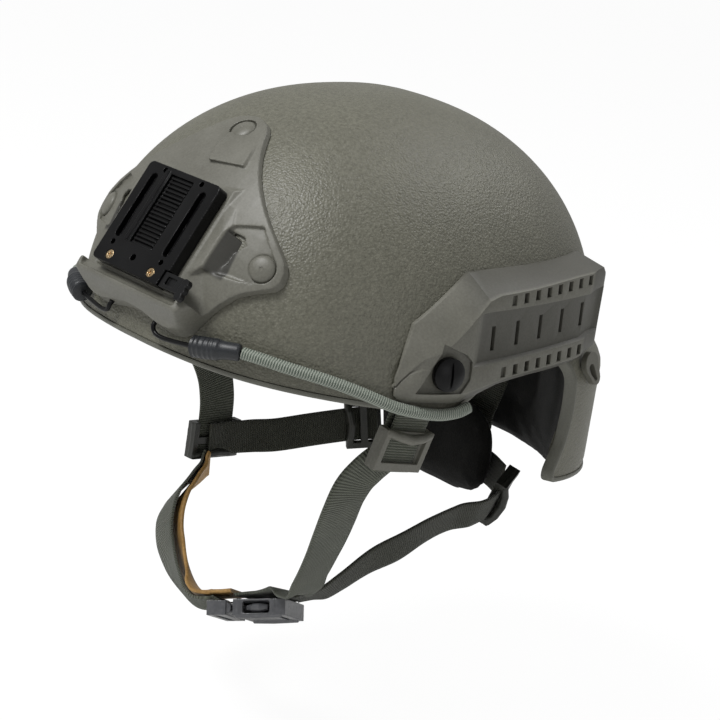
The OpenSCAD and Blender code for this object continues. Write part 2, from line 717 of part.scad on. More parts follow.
// the strap's metal tab on the inner end of each front bolt
tab_level = -14.2;
module strap_tabs() {
    color("#3a3b3c") mirrored() on_bolt() translate([0, 0, tab_level]) difference() {
        union() {
            cylinder(d = 17, h = 1.4);
            translate([2, -14, 0]) cube([12, 28, 1.4]);
        }
        translate([0, 0, -1]) cylinder(d = bolt_shank + 0.4, h = 4);
        translate([8.5, -13, -1]) cube([3, 26, 4]);
    }
}
module strap_nuts() {
    color("#2a2b2c") mirrored() on_bolt() translate([0, 0, tab_level - 4.2]) difference() {
        cylinder(d = 11.5, h = 4, $fn = 6);
        translate([0, 0, -1]) cylinder(d = bolt_shank, h = 6);
    }
}
hook_y = 80;
hook_seat = 0.7;
hook_lean = -12;
module goggle_hook(side) {
    color(polymer) mirror([side < 0 ? 1 : 0, 0, 0])
        translate([skin_x(hook_y, 0, hook_seat), hook_y, 0]) rotate([0, hook_lean, 11]) rotate([90, 0, 90]) {
            difference() {
                linear_extrude(height = 3.4) hull() {
                    translate([0.5, 2]) circle(d = 13);
                    translate([4.6, -6]) circle(d = 8);
                }
                translate([0, 0, -1]) linear_extrude(height = 6) hull() {
                    translate([0, -0.5]) circle(d = 5.2);
                    translate([4.2, -6.4]) circle(d = 2.6, $fn = 24);
                }
            }
        }
}
module goggle_hook_left() { goggle_hook(1); }
module goggle_hook_right() { goggle_hook(-1); }

// The rows of webbing, cord and wire below are placed for a shell of these sizes, and move with it.
placed_half_width = 117;
placed_front = 136;
placed_rear = 137.5;
function fitted(p) =
    let(
        near = 1 - smooth01((-40 - p[2]) / 80),
        aside = (shell_half_width - placed_half_width) * max(-1, min(1, p[0] / 105)),
        ahead = (shell_front - placed_front) * smooth01((-60 - p[1]) / 60),
        behind = (shell_rear - placed_rear) * smooth01((p[1] - 60) / 30)
    )
    concat([p[0] + aside * near, p[1] - ahead * near + behind, p[2]], [for (k = [3:1:len(p) - 1]) p[k]]);
function fitted_all(rows) = [for (p = rows) fitted(p)];

// Swept pieces
function frame_at(path, k) =
    let(n = len(path), a = path[max(0, k - 1)], b = path[min(n - 1, k + 1)])
    unit([b[0] - a[0], b[1] - a[1], b[2] - a[2]]);
function tube_rings(path, d, sides, start = [0, 0, 1]) = [
    for (k = [0:len(path) - 1])
        let(
            along = frame_at(path, k),
            u = unit(cross(along, start)),
            v = cross(along, u)
        )
        [for (s = [0:sides - 1]) path[k] + (u * cos(360 * s / sides) + v * sin(360 * s / sides)) * d / 2]
];
// rows hold a place and the direction of the width: [x, y, z, wx, wy, wz]
function ribbon_rings(rows, width, thick, shift, bow) = [
    for (k = [0:len(rows) - 1])
        let(
            p = [rows[k][0], rows[k][1], rows[k][2]],
            along = frame_at(rows, k),
            w0 = [rows[k][3], rows[k][4], rows[k][5]],
            w = unit(w0 - along * (w0 * along)),
            out = cross(w, along),
            rest = shift + bow * pow(sin(180 * k / (len(rows) - 1)), 2)
        )
        [for (c = [[-1, -1], [1, -1], [1, 1], [-1, 1]])
            p + w * c[0] * width / 2 + out * (rest + c[1] * thick / 2)]
];
module ribbon(rows, width, thick, shift = 0, bow = 0) {
    tube_loft(ribbon_rings(rows, width, thick, shift, bow));
}

// Bungees
hook_notch_x = 18;
hook_points = [
    [hook_notch_x, -136.2, 19], [hook_notch_x, -139.6, 15.2], [hook_notch_x + 1.6, -139.8, 12],
    [hook_notch_x + 6, -139.4, 10.8], [32, -138.1, 11], [45, -136.2, 12.4]
];
grip_points = [[45.6, -136.2, 12.6], [52, -134.4, 13.6], [58.5, -131.4, 14.5]];
sleeve_points = [[58.8, -131.2, 14.5], [63.5, -128.4, 15], [68, -125.2, 15.2]];
bungee_points = [
    [68.4, -124.9, 15.2], [76, -119, 14], [84, -112.3, 12.2], [91, -105, 10.4], [98.4, -95.8, 8],
    [104.8, -86, 4.8], [110, -76, 1], [114.8, -64, -3.8], [118.4, -51, -7], [120.8, -38, -9],
    [122, -27, -8.6], [122.4, -20, -6.6]
];
hook_path = spline(fitted_all(hook_points), 3);
hook_start = [0, 1, 0.3];
hook_gap = 0.4;
module bungee_hook(side) {
    color("#161514") mirror([side < 0 ? 1 : 0, 0, 0])
        tube_loft(tube_rings(hook_path, hook_wire, 8, hook_start), true);
}
module bungee_grip(side) {
    color("#3b3d41") mirror([side < 0 ? 1 : 0, 0, 0]) {
        tube_loft(concat(
            tube_rings(spline(fitted_all(grip_points), 2), grip_d, 12),
            tube_rings(spline(fitted_all(sleeve_points), 2), bungee_d + 2.6, 12)
        ), true);
    }
}
module bungee_cord(side) {
    color("#9aa39a") mirror([side < 0 ? 1 : 0, 0, 0])
        tube_loft(tube_rings(spline(fitted_all(bungee_points), 2), bungee_d, 8), true);
}
module bungee_hook_left() { bungee_hook(1); }
module bungee_hook_right() { bungee_hook(-1); }
module bungee_grip_left() { bungee_grip(1); }
module bungee_grip_right() { bungee_grip(-1); }
module bungee_cord_left() { bungee_cord(1); }
module bungee_cord_right() { bungee_cord(-1); }

// Liner pads: a crowned patch of the inner skin, by plan angle and height
module pad(angle, half_angle, low, high, thick, sides = 20, rows = [0.4, 0.75, 1]) {
    squareness = 4;
    off_out = -(shell_wall + pad_gap);
    function ray(k) =
        let(
            c = cos(360 * k / sides),
            s = sin(360 * k / sides),
            r = pow(pow(abs(c), squareness) + pow(abs(s), squareness), -1 / squareness)
        )
        [c * r, s * r];
    function place(k, f, off) =
        let(q = ray(k) * f) skin(angle + q[0] * half_angle, mix(low, high, (q[1] + 1) / 2), off);
    outward = [for (f = rows) [for (k = [0:sides - 1]) place(k, f * 0.96, off_out)]];
    inward = [for (f = [1, 0.85, 0.45]) [for (k = [0:sides - 1])
        place(k, f, off_out - thick * (f == 1 ? 0.5 : f > 0.8 ? 0.94 : 1))]];
    mid = (low + high) / 2;
    capped_loft(skin(angle, mid, off_out), concat(outward, inward), skin(angle, mid, off_out - thick * 1.04));
}
pad_black = "#2b2c2a";
module pad_front() { color(pad_black) pad(0, 34, 6, 52, pad_thick); }
module pad_rear() { color(pad_black) pad(180, 51, -77, 10, pad_thick - 2, 28, [0.25, 0.5, 0.75, 1]); }
module pad_side_left() { color(pad_black) pad(98, 22, 14, 56, pad_thick); }
module pad_side_right() { color(pad_black) pad(-98, 22, 14, 56, pad_thick); }
module pad_crown() {
    sides = 24;
    reach = 52;
    inside_top = shell_height - shell_wall - pad_gap;
    function under_skin(x, y, off) =
        let(
            q = pow(pow(abs(x) / (shell_half_width + off), plan_power)
                + pow(abs(y - centre_y) / (shell_rear + off), plan_power), side_power / plan_power)
        )
        (shell_height + off) * pow(1 - q, 1 / side_power);
    function place(k, f, off) =
        let(x = reach * f * cos(360 * k / sides), y = centre_y + reach * 1.2 * f * sin(360 * k / sides))
        [x, y, under_skin(x, y, off)];
    upper = [for (f = [0.5, 0.96]) [for (k = [0:sides - 1]) place(k, f, -(shell_wall + pad_gap))]];
    lower = [for (f = [1, 0.85, 0.5]) [for (k = [0:sides - 1])
        place(k, f, -(shell_wall + pad_gap + pad_thick * (f == 1 ? 0.5 : 1)))]];
    color(pad_black)
        capped_loft(
            [0, centre_y, inside_top], concat(upper, lower), [0, centre_y, inside_top - pad_thick * 1.04]
        );
}
nape_y = shell_rear - 37.5;
nape_z = -80;
nape_half_w = 46;
nape_bend = 0.004;
nape_half_h = 29;
module nape_pad() {
    sides = 24;
    function place(k, f, depth) =
        let(
            t = 360 * k / sides,
            c = cos(t),
            s = sin(t),
            r = pow(pow(abs(c), 2.8) + pow(abs(s), 2.8), -1 / 2.8) * f,
            x = nape_half_w * c * r
        )
        [x, nape_y + depth - x * x * nape_bend, nape_z + nape_half_h * s * r];
    rings = [
        for (row = [[0.5, 1], [0.85, 0.9], [1, 0.5], [0.85, 0.1], [0.5, 0]])
            [for (k = [0:sides - 1]) place(k, row[0], (row[1] - 0.5) * nape_thick)]
    ];
    reach = nape_thick * 0.52;
    color("#141414") capped_loft([0, nape_y + reach, nape_z], rings, [0, nape_y - reach, nape_z], true);
}
module nape_webbing() {
    top_rows = [
        [18, 116, -34, 1, 0, 0], [18, 114.6, -42, 1, 0, 0], [17.6, 111.2, -52, 1, 0, 0],
        [17, 108.7, -60, 1, 0, 0],
        [17, 108.45, -68, 1, 0, 0]
    ];
    side_rows = [
        [31, 103.9, -88, 0.1, 0, 1], [38, 102.3, -88.4, 0.1, 0, 1], [44, 100.7, -89.3, 0.1, 0, 1],
        [49.1, 99.1, -90.1, 0.15, 0, 0.99]
    ];
    color(webbing_green) mirrored() {
        ribbon(spline(fitted_all(top_rows), 2), rear_width, webbing_thick);
        ribbon(spline(fitted_all(side_rows), 2), rear_width, webbing_thick);
    }
}

// Buckle: local X runs from the plug to the socket, local Y across it, local Z up
buckle_turn = 32;
buckle_rise = 15;
buckle_roll = 27;
buckle_centre = [14, -40.8, -158.4];
module on_buckle() {
    translate(buckle_centre) rotate([0, 0, buckle_turn]) rotate([0, -buckle_rise, 0])
        rotate([-buckle_roll, 0, 0]) children();
}
function turned_x(p, a) = [p[0], p[1] * cos(a) - p[2] * sin(a), p[1] * sin(a) + p[2] * cos(a)];
function turned_y(p, a) = [p[0] * cos(a) + p[2] * sin(a), p[1], p[2] * cos(a) - p[0] * sin(a)];
function turned_z(p, a) = [p[0] * cos(a) - p[1] * sin(a), p[0] * sin(a) + p[1] * cos(a), p[2]];
function buckle_dir(p) = turned_z(turned_y(turned_x(p, -buckle_roll), -buckle_rise), buckle_turn);
// a row of webbing beside the buckle; side is -1 where the front edge leads and 1 where the rear edge does
function buckle_row(x, y, z, side) = concat(buckle_centre + buckle_dir([x, y, z]), buckle_dir([0, side, 0]));

socket_start = -9.5;
socket_end = socket_start + socket_length;
bar_slot = webbing_thick + 1.4;
bar_slot_x = socket_end - 4.4 - bar_slot / 2;
plug_start = socket_start - 15;
plug_slot_x = plug_start + 3 + bar_slot / 2;

// Chin harness. Rows: place, then direction of the width.
anchor_y = -34;
anchor_z = 1;
front_left_path = [
    [105.6, anchor_y, 3.4, 0.24, 0.97, 0], [104.2, -36.4, -5, 0.2, 0.97, 0], [101.2, -39.5, -14, 0.1, 1, 0],
    [98.8, -41, -23, 0, 1, -0.05], [97.2, -42.8, -31, 0, 1, -0.1], [95.4, -46.8, -38.6, 0, 0.92, -0.35],
    [92.6, -53, -45.4, 0, 0.86, -0.48], [89, -57.6, -54, 0.07, 0.95, -0.25],
    [84.6, -58.8, -66.5, 0.1, 1, 0.05],
    [77.5, -55.6, -81.6, 0.1, 1, 0.1], [69, -51, -97, 0.05, 1, 0.1], [61, -47.5, -111, 0, 1, 0.1],
    [53, -43.8, -123.5, -0.05, 1, 0.05], [46, -39.6, -133.4, -0.2, 0.95, -0.1],
    buckle_row(27, -15, 10.8, 1), buckle_row(17, -8, 9.2, 1), buckle_row(6, -3, 8.4, 1),
    buckle_row(-2, -1, 8, 1), buckle_row(-8.5, 0, 7.6, 1)
];
front_left_rows = spline(fitted_all(front_left_path), 2);
// the adjusting tail lies on the strap and runs through the slider
tail_rows = spline(fitted_all([
    [105.6, -38.8, -9, 0, 1, 0], [104.4, -39.6, -16, 0, 1, 0], [103.1, -41.1, -24.4, 0, 1, 0],
    [101.9, -42.8, -32.8, 0, 1, 0], [100.8, -44.4, -41.1, 0, 1, 0], [100.3, -45.1, -45, 0, 1, 0]
]), 2);
slider_row = 6;
front_right_rows = spline(fitted_all([
    [-105.6, anchor_y, 3.4, 0.24, -0.97, 0], [-104.4, -34.6, -6, 0.2, -0.97, 0],
    [-103.6, -30, -16, 0, -1, 0.35], [-103.2, -20, -28, 0, -1, 0.6],
    [-102.4, -5, -45, 0, -1, 0.5], [-101, 4.6, -62, 0, -1, 0.3], [-99.6, 8.4, -78, 0, -1, 0],
    [-98.8, 8.8, -91, 0, -1, 0], [-98.2, 8.2, -104, 0, -1, 0], [-97.6, 7.4, -116, 0, -1, 0]
]), 2);
rear_left_path = [
    [54.4, 98.4, -90.7, 0.36, 0, 0.93], [57.2, 92.1, -92.2, 0.36, 0, 0.93],
    [59.6, 86.8, -93.5, 0.36, 0, 0.93],
    [62, 81.4, -94.8, 0.36, 0, 0.93], [64.8, 75.1, -96.3, 0.38, 0, 0.92], [65.6, 64, -98.4, 0.43, 0, 0.9],
    [61, 51.5, -100.8, 0.42, 0, 0.9], [58.6, 34.6, -106, 0.38, -0.05, 0.92],
    [54.5, 18.5, -115, 0.3, -0.1, 0.92], [48, 4, -124, 0.35, -0.25, 0.88],
    [42.6, -9.6, -136.2, 0.42, -0.45, 0.75],
    [38.8, -18.8, -145.4, 0.45, -0.65, 0.6], buckle_row(27, 3, 7.4, -1), buckle_row(21.5, 1, 6.4, -1)
];
rear_left_rows = concat(spline(fitted_all(rear_left_path), 2), [
    buckle_row(17.5, 0, 6.5, -1), buckle_row(bar_slot_x + 0.3, 0, 5.1, -1), buckle_row(bar_slot_x, 0, -1, -1)
]);
rear_right_rows = spline(fitted_all([
    [-53.5, 98, -90.5, -0.2, 0.1, 0.97], [-59.6, 92, -92, -0.2, 0.05, 0.97], [-65.6, 81, -94, -0.25, 0, 0.97],
    [-73, 62, -97, -0.25, 0, 0.97], [-82, 43, -101, -0.22, 0, 0.97], [-88, 30, -102, -0.15, 0, 0.98],
    [-91, 21, -102.6, -0.05, 0, 1], [-93.1, 13, -102.8, -0.05, 0, 1], [-93.4, 7, -102.8, -0.05, 0, 1],
    [-93.4, 1.6, -102.8, -0.05, 0, 1]
]), 2);
chin_rows = spline(fitted_all([
    [-97.2, 3, -117.4, 0.5, -0.8, 0.3], [-95.6, -3, -121.6, 0.6, -0.72, 0.33],
    [-91.6, -14, -126, 0.65, -0.55, 0.42],
    [-85.6, -27, -131, 0.7, -0.35, 0.5], [-78.6, -37, -138, 0.75, -0.2, 0.6],
    [-70.5, -42.6, -147.6, 0.68, -0.2, 0.7],
    [-60, -45.4, -156, 0.6, -0.3, 0.75], [-44, -49.6, -161.8, 0.5, -0.5, 0.7],
    [-29, -53.6, -164, 0.46, -0.62, 0.63],
    [-18.5, -54.6, -163, 0.42, -0.72, 0.55], buckle_row(-26.6, 0, 6, -1), buckle_row(-23, 0, 6.4, -1)
]), 2);
chin_right_rows = concat(chin_rows, [
    buckle_row(plug_slot_x - 0.3, 0, 5, -1), buckle_row(plug_slot_x, 0, -1, -1)
]);
lining_rows = concat(chin_rows, [buckle_row(-17, 0, 6.4, -1), buckle_row(-11.5, 0, 6.8, -1)]);
// local X across the webbing, local Y along it, webbing through the middle plane
module on_ribbon(rows, k) {
    here = [rows[k][0], rows[k][1], rows[k][2]];
    along = frame_at(rows, k);
    w0 = [rows[k][3], rows[k][4], rows[k][5]];
    w = unit(w0 - along * (w0 * along));
    out = cross(w, along);
    multmatrix([
        [w[0], along[0], out[0], here[0]],
        [w[1], along[1], out[1], here[1]],
        [w[2], along[2], out[2], here[2]],
        [0, 0, 0, 1]
    ]) children();
}
rear_width = webbing_width * 0.8;
module ladder_slider(width) {
    window = width + 2.4;
    arm = 3.6;
    cross_bar = 4.4;
    channel = webbing_thick + 2 * webbing_gap;
    full = channel + 2 * slider_bar;
    for (side = [-1, 1])
        translate([side * (window / 2 + arm / 2) - arm / 2, -slider_length / 2, -full / 2])
            cube([arm, slider_length, full]);
    for (e = [-1, 1])
        translate([-window / 2 - 1, (e * (slider_length - cross_bar) - cross_bar) / 2, -full / 2])
            cube([window + 2, cross_bar, slider_bar]);
    translate([-window / 2 - 1, -cross_bar / 2, channel / 2]) cube([window + 2, cross_bar, slider_bar]);
}
module front_strap_left() {
    color(webbing_green) {
        ribbon(front_left_rows, webbing_width, webbing_thick);
        ribbon(tail_rows, webbing_width, webbing_thick);
    }
}
module front_strap_right() { color(webbing_green) ribbon(front_right_rows, webbing_width, webbing_thick); }
module front_slider_left() { color(polymer) on_ribbon(tail_rows, slider_row) ladder_slider(webbing_width); }
module front_slider_right() { color("#3c3d3a") on_ribbon(front_right_rows, 16) ladder_slider(webbing_width); }
module rear_strap_left() { color(webbing_green) ribbon(rear_left_rows, rear_width, webbing_thick); }
module rear_strap_right() { color(webbing_green) ribbon(rear_right_rows, rear_width, webbing_thick); }
module rear_slider_left() { color("#3c3d3a") on_ribbon(rear_left_rows, 4) ladder_slider(rear_width); }
module rear_slider_right() { color("#3c3d3a") on_ribbon(rear_right_rows, 2) ladder_slider(rear_width); }
module chin_strap_right() { color(webbing_green) ribbon(chin_right_rows, webbing_width, webbing_thick); }
module chin_lining() {
    rest = (webbing_thick + lining_thick) / 2 + 0.9;
    color("#a8894f") ribbon(lining_rows, webbing_width + 3, lining_thick, rest, 3);
}

cavity_length = 21.5;
cavity_half = buckle_width / 2 - buckle_wall - 0.4;
cavity_height = buckle_height - 2 * buckle_wall;
window_start = -3.2;
window_length = 14;
module slab(x0, x1, half_w, h) {
    translate([x0, -half_w, -h / 2]) cube([x1 - x0, 2 * half_w, h]);
}
module strap_slot(x) {
    translate([x - bar_slot / 2, -webbing_width / 2 - 0.6, -buckle_height])
        cube([bar_slot, webbing_width + 1.2, 2 * buckle_height]);
}
module buckle_socket() {
    color("#4a4c4e") on_buckle() difference() {
        slab(socket_start, socket_end, buckle_width / 2, buckle_height);
        slab(socket_start - 1, socket_start + cavity_length, cavity_half, cavity_height);
        translate([window_start, -buckle_width, -cavity_height / 2])
            cube([window_length, 2 * buckle_width, cavity_height]);
        strap_slot(bar_slot_x);
    }
}
plug_height = cavity_height - 2 * buckle_gap;
prong_root_x = socket_start - 1;
prong_root_y = cavity_half - 4.2;
prong_pin = 2;
cheek = 1.2;
module buckle_plug() {
    base_end = socket_start - buckle_gap;
    color("#55585a") on_buckle() difference() {
        union() {
            slab(plug_start, base_end - 3.7, buckle_width / 2, buckle_height - 1);
            slab(base_end - 3.8, base_end, 6, plug_height);
            slab(base_end - 0.1, socket_start + cavity_length - 2, 2.4, plug_height);
            for (side = [-1, 1]) translate([prong_root_x - 0.5, side * prong_root_y, -plug_height / 2])
                cylinder(d = prong_pin, h = plug_height);
            for (side = [-1, 1], level = [-1, 1])
                translate([base_end - 3.9, side * prong_root_y - 3, 0])
                    translate([0, 0, (level * (plug_height - cheek) - cheek) / 2])
                        cube([4.1, 6, cheek]);
        }
        strap_slot(plug_slot_x);
    }
}
module buckle_prong(side) {
    h = plug_height - 2 * cheek - 0.4;
    tip_x = window_start + window_length - 1;
    color("#5c5f62") on_buckle() mirror([0, side < 0 ? 1 : 0, 0]) difference() {
        union() {
            translate([prong_root_x - 0.5, prong_root_y, -h / 2]) cylinder(d = prong_pin + 2.4, h = h);
            translate([prong_root_x - 0.5, prong_root_y - 1.6, -h / 2])
                cube([tip_x - prong_root_x - 6, 2.8, h]);
            translate([window_start + 1, prong_root_y - 1.6, -h / 2])
                cube([tip_x - window_start - 1, cavity_half - buckle_gap - prong_root_y + 1.6, h]);
        }
        translate([prong_root_x - 0.5, prong_root_y, -h]) cylinder(d = prong_pin + 0.1, h = 2 * h);
    }
}
module buckle_prong_front() { buckle_prong(-1); }
module buckle_prong_rear() { buckle_prong(1); }

shell();
edge_trim();
shroud_frame();
shroud_screws();
mounting_plate();
plate_screws();
side_latch();
rail_left();
rail_right();
rail_front_bolts();
rail_rear_screws();
strap_tabs();
strap_nuts();
goggle_hook_left();
goggle_hook_right();
bungee_hook_left();
bungee_hook_right();
bungee_grip_left();
bungee_grip_right();
bungee_cord_left();
bungee_cord_right();
pad_front();
pad_crown();
pad_rear();
pad_side_left();
pad_side_right();
nape_pad();
nape_webbing();
front_strap_left();
front_strap_right();
front_slider_left();
front_slider_right();
rear_strap_left();
rear_strap_right();
rear_slider_left();
rear_slider_right();
chin_strap_right();
chin_lining();
buckle_socket();
buckle_plug();
buckle_prong_front();
buckle_prong_rear();
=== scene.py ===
import json
import math

import bpy
import numpy as np
from mathutils import Matrix, Vector


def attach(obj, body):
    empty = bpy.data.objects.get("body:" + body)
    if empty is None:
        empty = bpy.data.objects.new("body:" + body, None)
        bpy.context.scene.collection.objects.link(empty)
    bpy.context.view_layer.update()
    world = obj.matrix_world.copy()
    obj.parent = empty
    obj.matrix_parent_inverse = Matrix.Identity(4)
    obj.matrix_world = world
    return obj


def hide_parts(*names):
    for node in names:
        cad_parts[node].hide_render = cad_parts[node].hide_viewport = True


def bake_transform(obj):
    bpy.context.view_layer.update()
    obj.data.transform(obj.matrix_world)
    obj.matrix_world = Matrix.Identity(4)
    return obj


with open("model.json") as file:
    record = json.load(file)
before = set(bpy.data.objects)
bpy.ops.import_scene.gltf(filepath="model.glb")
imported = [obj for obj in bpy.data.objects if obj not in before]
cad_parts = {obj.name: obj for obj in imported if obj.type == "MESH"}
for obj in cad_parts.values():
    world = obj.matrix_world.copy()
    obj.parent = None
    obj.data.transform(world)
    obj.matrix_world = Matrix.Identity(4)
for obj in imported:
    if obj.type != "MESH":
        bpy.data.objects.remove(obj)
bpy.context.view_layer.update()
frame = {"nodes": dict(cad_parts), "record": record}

bl_info = {
    "name": "Combat helmet",
    "version": (1, 0, 0),
    "blender": (4, 5, 0),
    "location": "3D View > Sidebar > Helmet",
    "description": "Builds a high-cut combat helmet with shroud, rails, liner and chin harness",
    "category": "Object",
}

MM = 0.001
BODY_OF = {node: body for body, nodes in frame["record"]["behaviour"]["bodies"].items() for node in nodes}


# Colours and nodes

# Socket places of the Mix node when it mixes colours
MIX_PART, MIX_FROM, MIX_TO, MIX_RESULT = 0, 6, 7, 2
TURN = 2 * math.pi


def linear(code):
    """sRGB hex to a linear colour with alpha."""
    parts = [int(code[i:i + 2], 16) / 255 for i in (1, 3, 5)]
    return tuple(p / 12.92 if p <= 0.04045 else ((p + 0.055) / 1.055) ** 2.4 for p in parts) + (1.0,)


def add(tree, kind, inputs=None, **settings):
    """Adds a node; inputs are values or sockets, settings are its properties."""
    node = tree.nodes.new(kind)
    for key, value in settings.items():
        setattr(node, key, value)
    for key, value in (inputs or {}).items():
        if isinstance(value, bpy.types.NodeSocket):
            tree.links.new(value, node.inputs[key])
        else:
            node.inputs[key].default_value = value
    return node


def material(name):
    """An empty node material with its shader and output; returns material, tree and shader."""
    made = bpy.data.materials.new(name)
    made.use_nodes = True
    tree = made.node_tree
    tree.nodes.clear()
    shader = add(tree, "ShaderNodeBsdfPrincipled")
    add(tree, "ShaderNodeOutputMaterial", {"Surface": shader.outputs["BSDF"]})
    return made, tree, shader


def shader_of(made):
    return next(node for node in made.node_tree.nodes if node.type == "BSDF_PRINCIPLED")


def surface(tree):
    """Texture coordinates in metres."""
    return add(tree, "ShaderNodeTexCoord").outputs["Object"]


def strip_parts(tree):
    """The two parts of the UV layer: across or round a strip, and along it."""
    split = add(tree, "ShaderNodeSeparateXYZ", {"Vector": add(tree, "ShaderNodeUVMap").outputs["UV"]})
    return split.outputs["X"], split.outputs["Y"]


def calc(tree, operation, *values):
    """The result of a math node; values are numbers or sockets."""
    return add(tree, "ShaderNodeMath", dict(enumerate(values)), operation=operation).outputs["Value"]


def spread(tree, value, low, high, to_low=0.0, to_high=1.0, **settings):
    """Maps a value from one range to another."""
    ends = {"Value": value, "From Min": low, "From Max": high, "To Min": to_low, "To Max": to_high}
    return add(tree, "ShaderNodeMapRange", ends, **settings).outputs["Result"]


def noise(tree, at, per_metre, detail, **inputs):
    made = {"Vector": at, "Scale": per_metre, "Detail": detail, **inputs}
    return add(tree, "ShaderNodeTexNoise", made).outputs["Fac"]


def cells(tree, at, per_metre):
    return add(tree, "ShaderNodeTexVoronoi", {"Vector": at, "Scale": per_metre}).outputs["Distance"]


def paint(tree, shader, part, dark, light, low=0.0, high=1.0):
    """Colours the shader from the dark to the light tone as part rises from low to high."""
    ramp = add(tree, "ShaderNodeValToRGB", {"Fac": part})
    for k, (place, code) in enumerate(((low, dark), (high, light))):
        ramp.color_ramp.elements[k].position = place
        ramp.color_ramp.elements[k].color = linear(code)
    tree.links.new(ramp.outputs["Color"], shader.inputs["Base Color"])
    return ramp.outputs["Color"]


def relief(tree, shader, height, strength, depth):
    """Bump from a height, with its depth in metres."""
    bump = add(tree, "ShaderNodeBump", {"Strength": strength, "Distance": depth, "Height": height})
    tree.links.new(bump.outputs["Normal"], shader.inputs["Normal"])


def hold(shader, values):
    """Sets constants on the shader's own sockets."""
    for key, value in values.items():
        shader.inputs[key].default_value = value


def paint_shade(made, part, code):
    """Lays a painted shade, a dark tone, over a finish as far as part, from 0 to 1, says."""
    tree, base = made.node_tree, shader_of(made).inputs["Base Color"]
    inputs = {MIX_PART: part, MIX_FROM: base.links[0].from_socket, MIX_TO: linear(code)}
    dark = add(tree, "ShaderNodeMix", inputs, data_type="RGBA")
    tree.links.new(dark.outputs[MIX_RESULT], base)
    return made


# Small mesh tools

# Voxel size in millimetres and rounds of smoothing for each remeshed piece
SHROUD_SKIN, PLATE_SKIN, LATCH_SKIN, HOOK_SKIN = (0.68, 4), (0.42, 3), (0.3, 3), (0.35, 4)
SLIDER_SKIN, BUCKLE_SKIN, PRONG_SKIN = (0.42, 4), (0.32, 7), (0.3, 3)
# Angles in degrees: an edge above the first is bevelled, and a fold below the second is merged flat
SHARP_ANGLE, FLAT_ANGLE = 30, 0.6


def deselect():
    if bpy.context.object and bpy.context.object.mode != "OBJECT":
        bpy.ops.object.mode_set(mode="OBJECT")
    bpy.ops.object.select_all(action="DESELECT")


def take(obj):
    """Selects obj alone and makes it active."""
    deselect()
    obj.select_set(True)
    bpy.context.view_layer.objects.active = obj
    return obj


def edit(obj):
    take(obj)
    bpy.ops.object.mode_set(mode="EDIT")
    bpy.ops.mesh.select_all(action="SELECT")


def leave():
    bpy.ops.object.mode_set(mode="OBJECT")


def points_of(obj):
    co = np.empty(len(obj.data.vertices) * 3, np.float32)
    obj.data.vertices.foreach_get("co", co)
    return co.reshape(-1, 3)


def put_points(obj, co):
    obj.data.vertices.foreach_set("co", co.astype(np.float32).ravel())
    obj.data.update()


def sheet_from(name, places, uv=None):
    """A grid primitive laid through places, an array of rows by columns by three, in millimetres."""
    rows, cols = places.shape[:2]
    deselect()
    bpy.ops.mesh.primitive_grid_add(
        x_subdivisions=cols - 1, y_subdivisions=rows - 1, size=1, location=(0, 0, 0))
    obj = bpy.context.object
    obj.name = name
    obj.data.name = name
    co = points_of(obj)
    i = np.rint((co[:, 0] + 0.5) * (cols - 1)).astype(int)
    j = np.rint((co[:, 1] + 0.5) * (rows - 1)).astype(int)
    put_points(obj, places[j, i] * MM)
    if uv is not None:
        layer = obj.data.uv_layers.active.data
        corner = np.empty(len(obj.data.loops), int)
        obj.data.loops.foreach_get("vertex_index", corner)
        layer.foreach_set("uv", (uv[j, i][corner]).astype(np.float32).ravel())
        obj.data.update()
    return obj


def close_up(obj, gap=1e-6, fill=True):
    """Joins the sheet's seams, closes its ends and turns its faces outwards."""
    edit(obj)
    bpy.ops.mesh.remove_doubles(threshold=gap)
    if fill:
        bpy.ops.mesh.select_all(action="SELECT")
        bpy.ops.mesh.fill_holes(sides=0)
    bpy.ops.mesh.select_all(action="SELECT")
    bpy.ops.mesh.normals_make_consistent(inside=False)
    leave()
    return obj


def modify(obj, kind, **settings):
    """Adds a modifier, sets it and applies it."""
    take(obj)
    made = obj.modifiers.new(kind.title(), kind)
    for key, value in settings.items():
        setattr(made, key, value)
    bpy.ops.object.modifier_apply(modifier=made.name)
    return obj


def smooth(obj, degrees):
    take(obj)
    bpy.ops.object.shade_smooth_by_angle(angle=math.radians(degrees))
    return obj


def solid_copy(node, name, bevel):
    """A merged copy of a CAD node, its sharp edges bevelled by so many millimetres."""
    obj = bpy.data.objects.new(name, frame["nodes"][node].data.copy())
    obj.data.name = name
    obj.data.materials.clear()
    bpy.context.scene.collection.objects.link(obj)
    edit(obj)
    bpy.ops.mesh.customdata_custom_splitnormals_clear()
    bpy.ops.mesh.select_all(action="SELECT")
    bpy.ops.mesh.remove_doubles(threshold=2e-6)
    bpy.ops.mesh.select_all(action="SELECT")
    bpy.ops.mesh.dissolve_limited(angle_limit=math.radians(FLAT_ANGLE))
    leave()
    if bevel:
        modify(obj, "BEVEL", width=bevel * MM, segments=2, limit_method="ANGLE",
               angle_limit=math.radians(SHARP_ANGLE), use_clamp_overlap=True, miter_outer="MITER_ARC")
    return smooth(obj, SHARP_ANGLE)


def cut_away(obj, cuts):
    for cut in cuts:
        modify(obj, "BOOLEAN", operation="DIFFERENCE", object=cut, solver="EXACT")
        bpy.data.objects.remove(cut)
    return obj


def moulded_copy(node, name, voxel, rounds, *extras, cuts=()):
    """A CAD node's copy with extras joined and cuts taken out, remeshed and smoothed like a moulding."""
    return melt(cut_away(solid_copy(node, name, 0), cuts), voxel, rounds, *extras)


